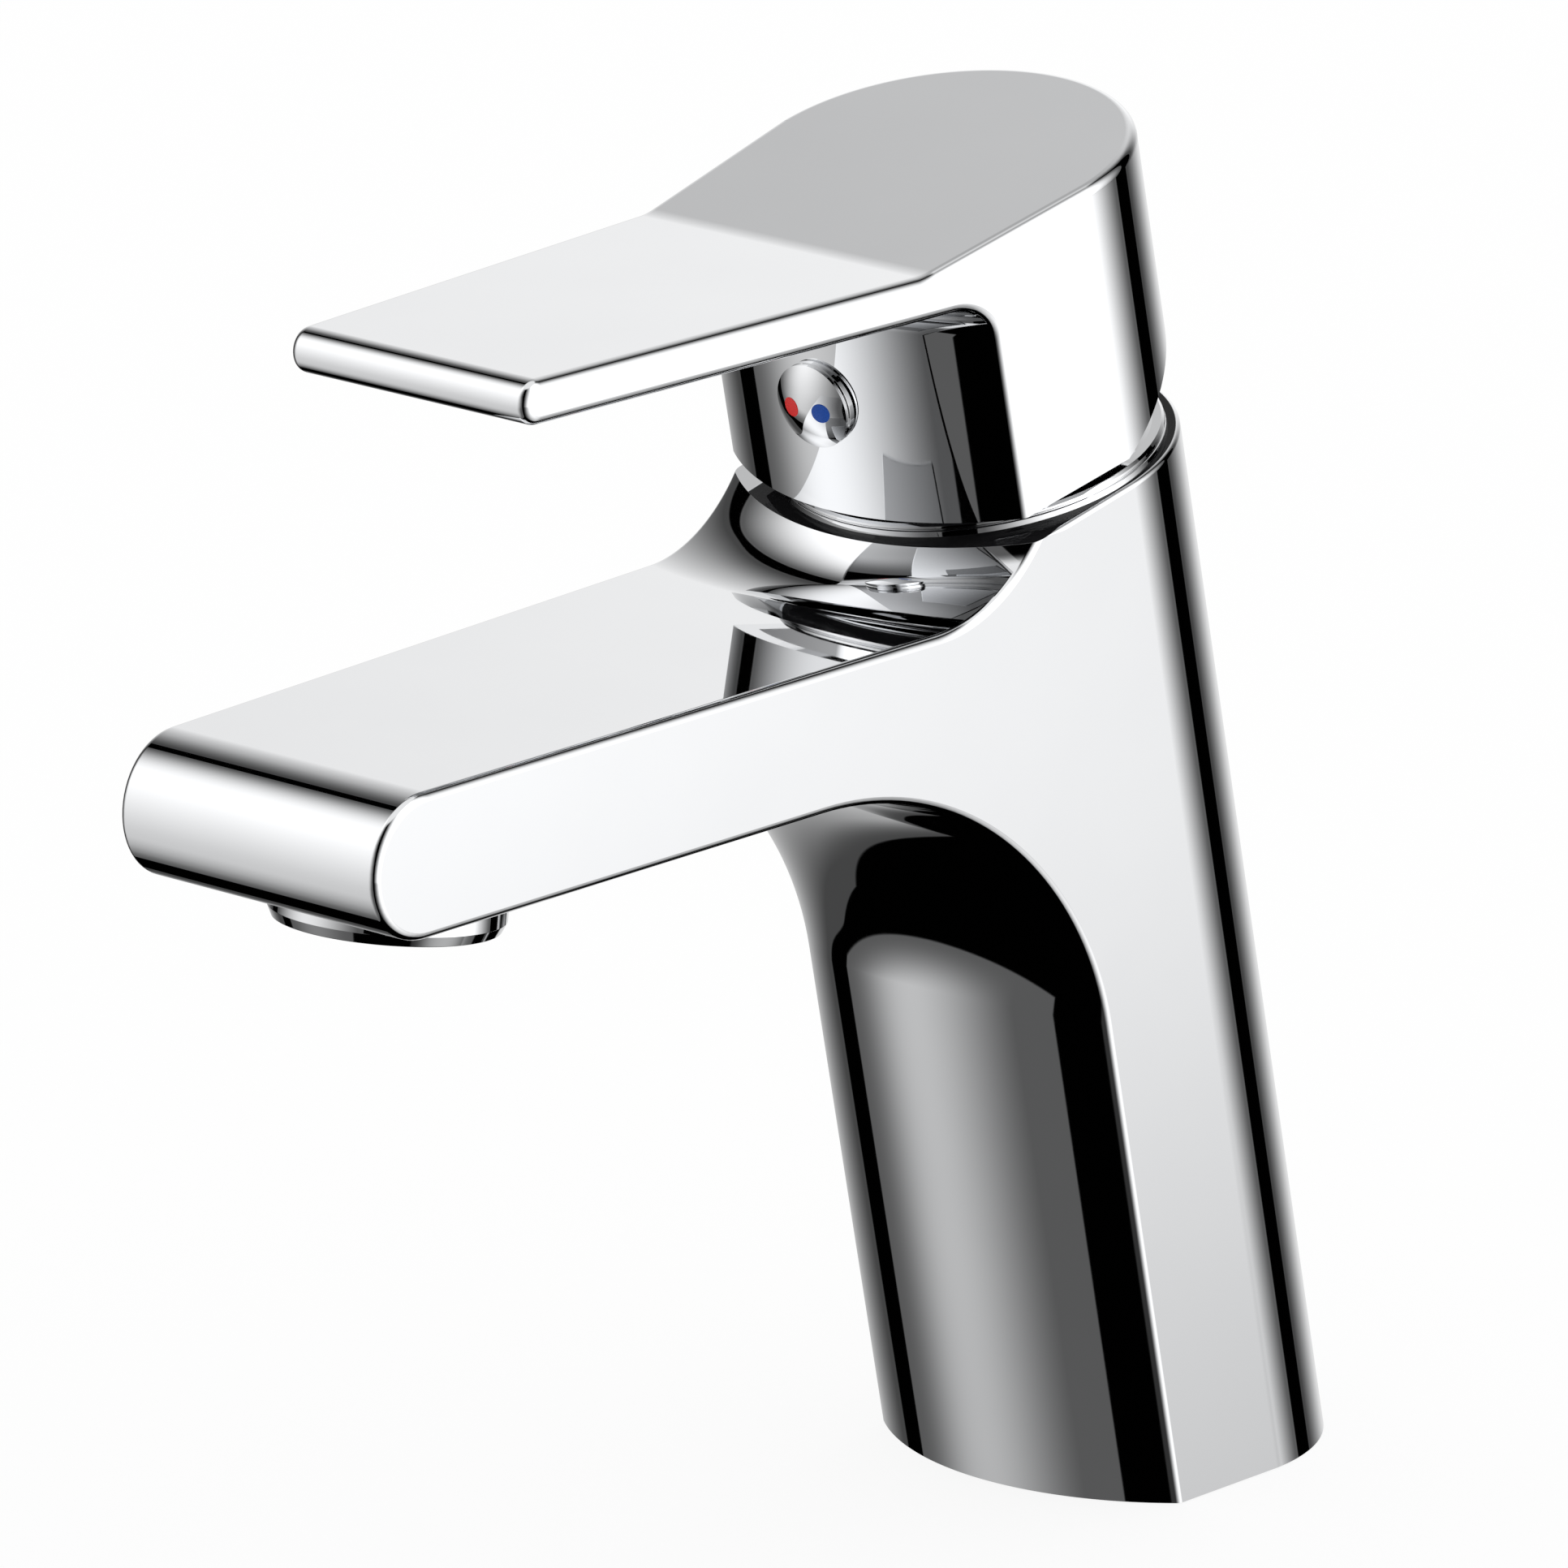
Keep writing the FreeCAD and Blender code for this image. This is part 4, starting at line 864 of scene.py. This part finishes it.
def paint_seat_shade(material):
    """Painted shade on the seat of the cover ring: the flat top of the column, except at its left side, turns
    near-black and not metallic.
    """
    graph = Graph(material.node_tree)
    shader = graph.nodes["Principled BSDF"]
    place = graph.node("ShaderNodeTexCoord").outputs["Object"]
    split = graph.node("ShaderNodeSeparateXYZ")
    graph.feed(split.inputs["Vector"], place)
    height = graph.node("ShaderNodeVectorMath", operation="DOT_PRODUCT")
    graph.feed(height.inputs[0], place)
    height.inputs[1].default_value = UP
    level = graph.spread(height.outputs["Value"], *SEAT_LEVELS)
    behind = graph.spread(split.outputs["Y"], SEAT_FRONT - SEAT_SOFTNESS, SEAT_FRONT + SEAT_SOFTNESS)
    beside = graph.spread(split.outputs["X"], SEAT_LEFT - SEAT_SOFTNESS, SEAT_LEFT + SEAT_SOFTNESS)
    # seat is the share of painted shade: 1 on the flat top, right of its left side and behind its front limit
    seat = graph.math("MULTIPLY", level, graph.math("MULTIPLY", behind, beside))
    colour = graph.node("ShaderNodeMix", data_type="RGBA")
    graph.feed(colour.inputs["Factor"], seat)
    graph.feed(colour.inputs["A"], shader.inputs["Base Color"].links[0].from_socket)
    colour.inputs["B"].default_value = (*SEAT_SHADE_COLOUR, 1)
    graph.feed(shader.inputs["Base Color"], colour.outputs["Result"])
    graph.feed(shader.inputs["Metallic"], graph.math("SUBTRACT", 1.0, seat))


FINISH_SETTINGS = {
    "chrome_body": {"colours": CHROME_COLOURS, "roughness": (0.012, 0.03), "metallic": 1.0, "relief": 2e-8,
                    "specular": 0.05},
    "chrome_handle": {"colours": CHROME_COLOURS, "roughness": (0.012, 0.03), "metallic": 1.0, "relief": 2e-8},
    "chrome_trim": {"colours": CHROME_COLOURS, "roughness": (0.015, 0.035), "metallic": 1.0, "relief": 2e-8},
    "brass": {"colours": ((0.58, 0.38, 0.12), (0.66, 0.46, 0.17)), "roughness": (0.22, 0.38), "metallic": 1.0,
              "relief": 8e-6, "stretch": (1, 1, 12)},
    "cartridge_plastic": {"colours": ((0.66, 0.66, 0.62), (0.72, 0.72, 0.68)), "roughness": (0.38, 0.52),
                          "relief": 6e-6},
    "rotor_plastic": {"colours": ((0.30, 0.33, 0.36), (0.36, 0.39, 0.42)), "roughness": (0.36, 0.50),
                      "relief": 6e-6},
    "valve_ceramic": {"colours": ((0.80, 0.79, 0.76), (0.86, 0.85, 0.82)), "roughness": (0.10, 0.18),
                      "relief": 1e-6},
    "seal_rubber": {"colours": ((0.012, 0.012, 0.013), (0.022, 0.022, 0.023)), "roughness": (0.55, 0.72),
                    "relief": 1e-5},
    "steel": {"colours": ((0.52, 0.53, 0.54), (0.60, 0.61, 0.62)), "roughness": (0.20, 0.34), "metallic": 1.0,
              "relief": 5e-6, "stretch": (1, 1, 14)},
    "aerator_plastic": {"colours": ((0.58, 0.60, 0.61), (0.64, 0.66, 0.67)), "roughness": (0.34, 0.46),
                        "relief": 5e-6},
    "red_enamel": {"colours": ((0.80, 0.022, 0.022), (0.87, 0.030, 0.028)), "roughness": (0.25, 0.35),
                   "specular": 0.3},
    "blue_enamel": {"colours": ((0.010, 0.070, 0.36), (0.016, 0.084, 0.43)), "roughness": (0.25, 0.35),
                    "specular": 0.3},
}
FINISHES = {name: make_material(name, **settings) for name, settings in FINISH_SETTINGS.items()}
# Paint shade onto the chrome of the column's flat top under the cover ring
paint_seat_shade(FINISHES["chrome_body"])


def paint():
    """Give each piece and each CAD node the finish of its material slot."""
    slots = {part["node"]: part["material_slot"] for part in frame["record"]["subparts"]}
    for node, item in frame["nodes"].items():
        for slot in item.material_slots:
            slot.material = FINISHES[slots[node]]
        if not item.material_slots:
            item.data.materials.append(FINISHES[slots[node]])
    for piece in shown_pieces():
        if "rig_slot" in piece:
            piece.data.materials.append(FINISHES[piece["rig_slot"]])


paint()

# Camera, with its focal length in widths of the picture
VIEW_AZIMUTH = math.radians(41.012)
VIEW_ELEVATION = math.radians(16.855)
VIEW_TARGET = Vector((-14.413, -43.559, 84.901)) * MM
VIEW_DISTANCE = 1846.35 * MM
VIEW_FOCAL = 20079 / 1932
SENSOR_WIDTH = 36.0
CLIP_RANGE = (0.1, 50)


def make_camera():
    data = bpy.data.cameras.new("camera")
    data.sensor_width = SENSOR_WIDTH
    data.lens = VIEW_FOCAL * SENSOR_WIDTH
    data.clip_start, data.clip_end = CLIP_RANGE
    camera = bpy.data.objects.new("camera", data)
    bpy.context.scene.collection.objects.link(camera)
    outward = Vector((math.sin(VIEW_AZIMUTH) * math.cos(VIEW_ELEVATION),
                      -math.cos(VIEW_AZIMUTH) * math.cos(VIEW_ELEVATION), math.sin(VIEW_ELEVATION)))
    right = Vector((math.cos(VIEW_AZIMUTH), math.sin(VIEW_AZIMUTH), 0))
    above = outward.cross(right)
    turn = Matrix((right, above, outward)).transposed().to_4x4()
    camera.matrix_world = Matrix.Translation(VIEW_TARGET + outward * VIEW_DISTANCE) @ turn
    bpy.context.scene.camera = camera


make_camera()


# Studio: three tall soft panels around the object with dark gaps between them, above a dark base.
# Angles are in degrees: azimuths from the front towards the right, elevations from the horizon.
# start, end: sides of the panel; drift moves its end and sway its bright line at low elevations
# bright, widths: azimuth of the bright line, and how far the light falls off on its left and right
# level, peak, edge, fade: elevation of the full peak, lightness there and at the sides, and the loss per
# degree above and below that elevation
# foot, border: azimuth and drop of the sloping lower edge, and the width over which the light comes in above
# twist: low and high elevation, and the turn of the whole panel between them; dip: loss at its lower right
PANELS = {
    "front_left": {"start": -86, "end": 20, "bright": -42, "widths": (42, 56), "level": 27, "peak": 1.02,
                   "edge": 0.32, "fade": (0.0, 0.0044), "foot": (-22, 53), "border": 16, "drift": 0,
                   "sway": 12, "twist": (0, 35, 8), "dip": 0.0},
    "back_left": {"start": -188.5, "end": -98, "bright": -150, "widths": (36, 49), "level": 13, "peak": 0.96,
                  "edge": 0.25, "fade": (0.0077, 0.0045), "foot": (-135, 56), "border": 12, "drift": 9,
                  "sway": 0, "twist": (34, 48, 6), "dip": 0.0},
    "right": {"start": 40, "end": 158, "bright": 112, "widths": (68, 43.5), "level": -16, "peak": 1.27,
              "edge": 0.33, "fade": (0.001, 0.012), "foot": (100, 62), "border": 6, "drift": 0,
              "sway": 0, "twist": (0, 35, 0), "dip": 0.15},
}
DRIFT_ELEVATIONS = (-36, -26)
SWAY_ELEVATIONS = (-37, -12)
DIP_ELEVATIONS = (-21, -17)
DIP_AZIMUTHS = (139, 142)
PANEL_SOFTNESS = 0.5
CEILING = (56, 66)
CEILING_LIGHTNESS = 0.9
FLOOR_WHITE = 0.85
FLOOR_COLOUR = (0.97, 0.97, 0.97, 1)
FLOOR_REACH = 4.0
FLOOR_DEPTH = -0.1 * MM
GAP_LIGHTNESS = 0.02
DISPLAY_POWER = 2.2
CHROME_REFLECTANCE = 0.88


def towards(graph, direction, azimuth):
    """Share of a direction that points along an azimuth."""
    turn = math.radians(azimuth)
    return graph.math("SUBTRACT", graph.math("MULTIPLY", direction["X"], math.sin(turn)),
                      graph.math("MULTIPLY", direction["Y"], math.cos(turn)))


def panel_lightness(graph, direction, elevation, panel):
    """Lightness of one panel in a direction, and nothing outside it."""
    middle = (panel["start"] + panel["end"]) / 2
    half = (panel["end"] - panel["start"]) / 2
    azimuth = graph.math("DEGREES", graph.math("ARCTAN2", towards(graph, direction, middle + 90),
                                               towards(graph, direction, middle)))
    low, high, twist = panel["twist"]
    azimuth = graph.math("ADD", azimuth, graph.spread(elevation, low, high, 0.0, twist))
    drift = graph.spread(elevation, *DRIFT_ELEVATIONS, panel["drift"], 0.0)
    inside = graph.math("MINIMUM", graph.math("ADD", azimuth, half),
                        graph.math("ADD", graph.math("SUBTRACT", half, azimuth), drift))
    foot_azimuth, foot_drop = panel["foot"]
    drop = math.radians(foot_drop)
    over_foot = graph.math("ADD", graph.math("MULTIPLY", direction["Z"], math.cos(drop)),
                           graph.math("MULTIPLY", towards(graph, direction, foot_azimuth), math.sin(drop)))
    over_foot = graph.math("DEGREES", over_foot)
    inside = graph.math("MINIMUM", inside, over_foot)
    mask = graph.spread(inside, -PANEL_SOFTNESS, PANEL_SOFTNESS)
    aside = graph.math("SUBTRACT", azimuth, panel["bright"] - middle)
    aside = graph.math("ADD", aside, graph.spread(elevation, *SWAY_ELEVATIONS, panel["sway"], 0.0))
    left, right = panel["widths"]
    share = graph.math("MAXIMUM", graph.math("DIVIDE", aside, right), graph.math("DIVIDE", aside, -left))
    bump = graph.math("COSINE", graph.spread(share, 0.0, 1.0, 0.0, math.pi / 2, "LINEAR"))
    bump = graph.math("MULTIPLY", bump, graph.spread(over_foot, 0.0, panel["border"]))
    rise = graph.math("SUBTRACT", elevation, panel["level"])
    above, under = panel["fade"]
    fade = graph.math("MAXIMUM", graph.math("MULTIPLY", rise, above), graph.math("MULTIPLY", rise, -under))
    peak = graph.math("SUBTRACT", panel["peak"] - panel["edge"], fade)
    lightness = graph.math("ADD", graph.math("MULTIPLY", peak, bump), panel["edge"])
    before = [limit - middle for limit in DIP_AZIMUTHS]
    dip = graph.math("MULTIPLY", graph.spread(elevation, *DIP_ELEVATIONS, panel["dip"], 0.0),
                     graph.spread(azimuth, *before, 1.0, 0.0))
    lightness = graph.math("SUBTRACT", lightness, dip)
    return graph.math("MULTIPLY", lightness, mask)


def make_studio():
    world = bpy.data.worlds.new("studio")
    bpy.context.scene.world = world
    world.use_nodes = True
    graph = Graph(world.node_tree)
    coordinates = graph.node("ShaderNodeTexCoord")
    split = graph.node("ShaderNodeSeparateXYZ")
    graph.feed(split.inputs["Vector"], coordinates.outputs["Generated"])
    direction = split.outputs
    elevation = graph.math("DEGREES", graph.math("ARCSINE", direction["Z"]))
    lightness = GAP_LIGHTNESS
    for panel in PANELS.values():
        lightness = graph.math("ADD", lightness, panel_lightness(graph, direction, elevation, panel))
    overhead = graph.spread(elevation, *CEILING)
    lightness = graph.math("ADD", graph.math("MULTIPLY", lightness, graph.math("SUBTRACT", 1.0, overhead)),
                           graph.math("MULTIPLY", overhead, CEILING_LIGHTNESS))
    reflected = graph.math("DIVIDE", graph.math("POWER", lightness, DISPLAY_POWER), CHROME_REFLECTANCE)
    mirror = graph.node("ShaderNodeLightPath").outputs["Is Glossy Ray"]
    strength = graph.math("ADD", graph.math("MULTIPLY", mirror, reflected),
                          graph.math("SUBTRACT", 1.0, mirror))
    background = graph.nodes["Background"]
    background.inputs["Color"].default_value = (1, 1, 1, 1)
    graph.feed(background.inputs["Strength"], strength)


def make_floor():
    """Pale floor that shows the object's soft shadow; polished metal mirrors the studio instead of it."""
    mesh = bpy.data.meshes.new("floor")
    corners = [(i * FLOOR_REACH, j * FLOOR_REACH, FLOOR_DEPTH)
               for i, j in ((-1, -1), (1, -1), (1, 1), (-1, 1))]
    mesh.from_pydata(corners, [], [(0, 1, 2, 3)])
    floor = bpy.data.objects.new("floor", mesh)
    bpy.context.scene.collection.objects.link(floor)
    floor.visible_glossy = False
    material = bpy.data.materials.new("pale_floor")
    material.use_nodes = True
    graph = Graph(material.node_tree)
    output = graph.nodes["Material Output"]
    graph.nodes.remove(graph.nodes["Principled BSDF"])
    matt = graph.node("ShaderNodeBsdfDiffuse")
    matt.inputs["Color"].default_value = FLOOR_COLOUR
    bright = graph.node("ShaderNodeEmission")
    mix = graph.node("ShaderNodeMixShader")
    seen = graph.node("ShaderNodeLightPath").outputs["Is Camera Ray"]
    graph.feed(mix.inputs["Fac"], graph.math("MULTIPLY", seen, FLOOR_WHITE))
    graph.feed(mix.inputs[1], matt.outputs["BSDF"])
    graph.feed(mix.inputs[2], bright.outputs["Emission"])
    graph.feed(output.inputs["Surface"], mix.outputs["Shader"])
    mesh.materials.append(material)


make_studio()
make_floor()
bpy.context.scene.view_settings.view_transform = "Standard"
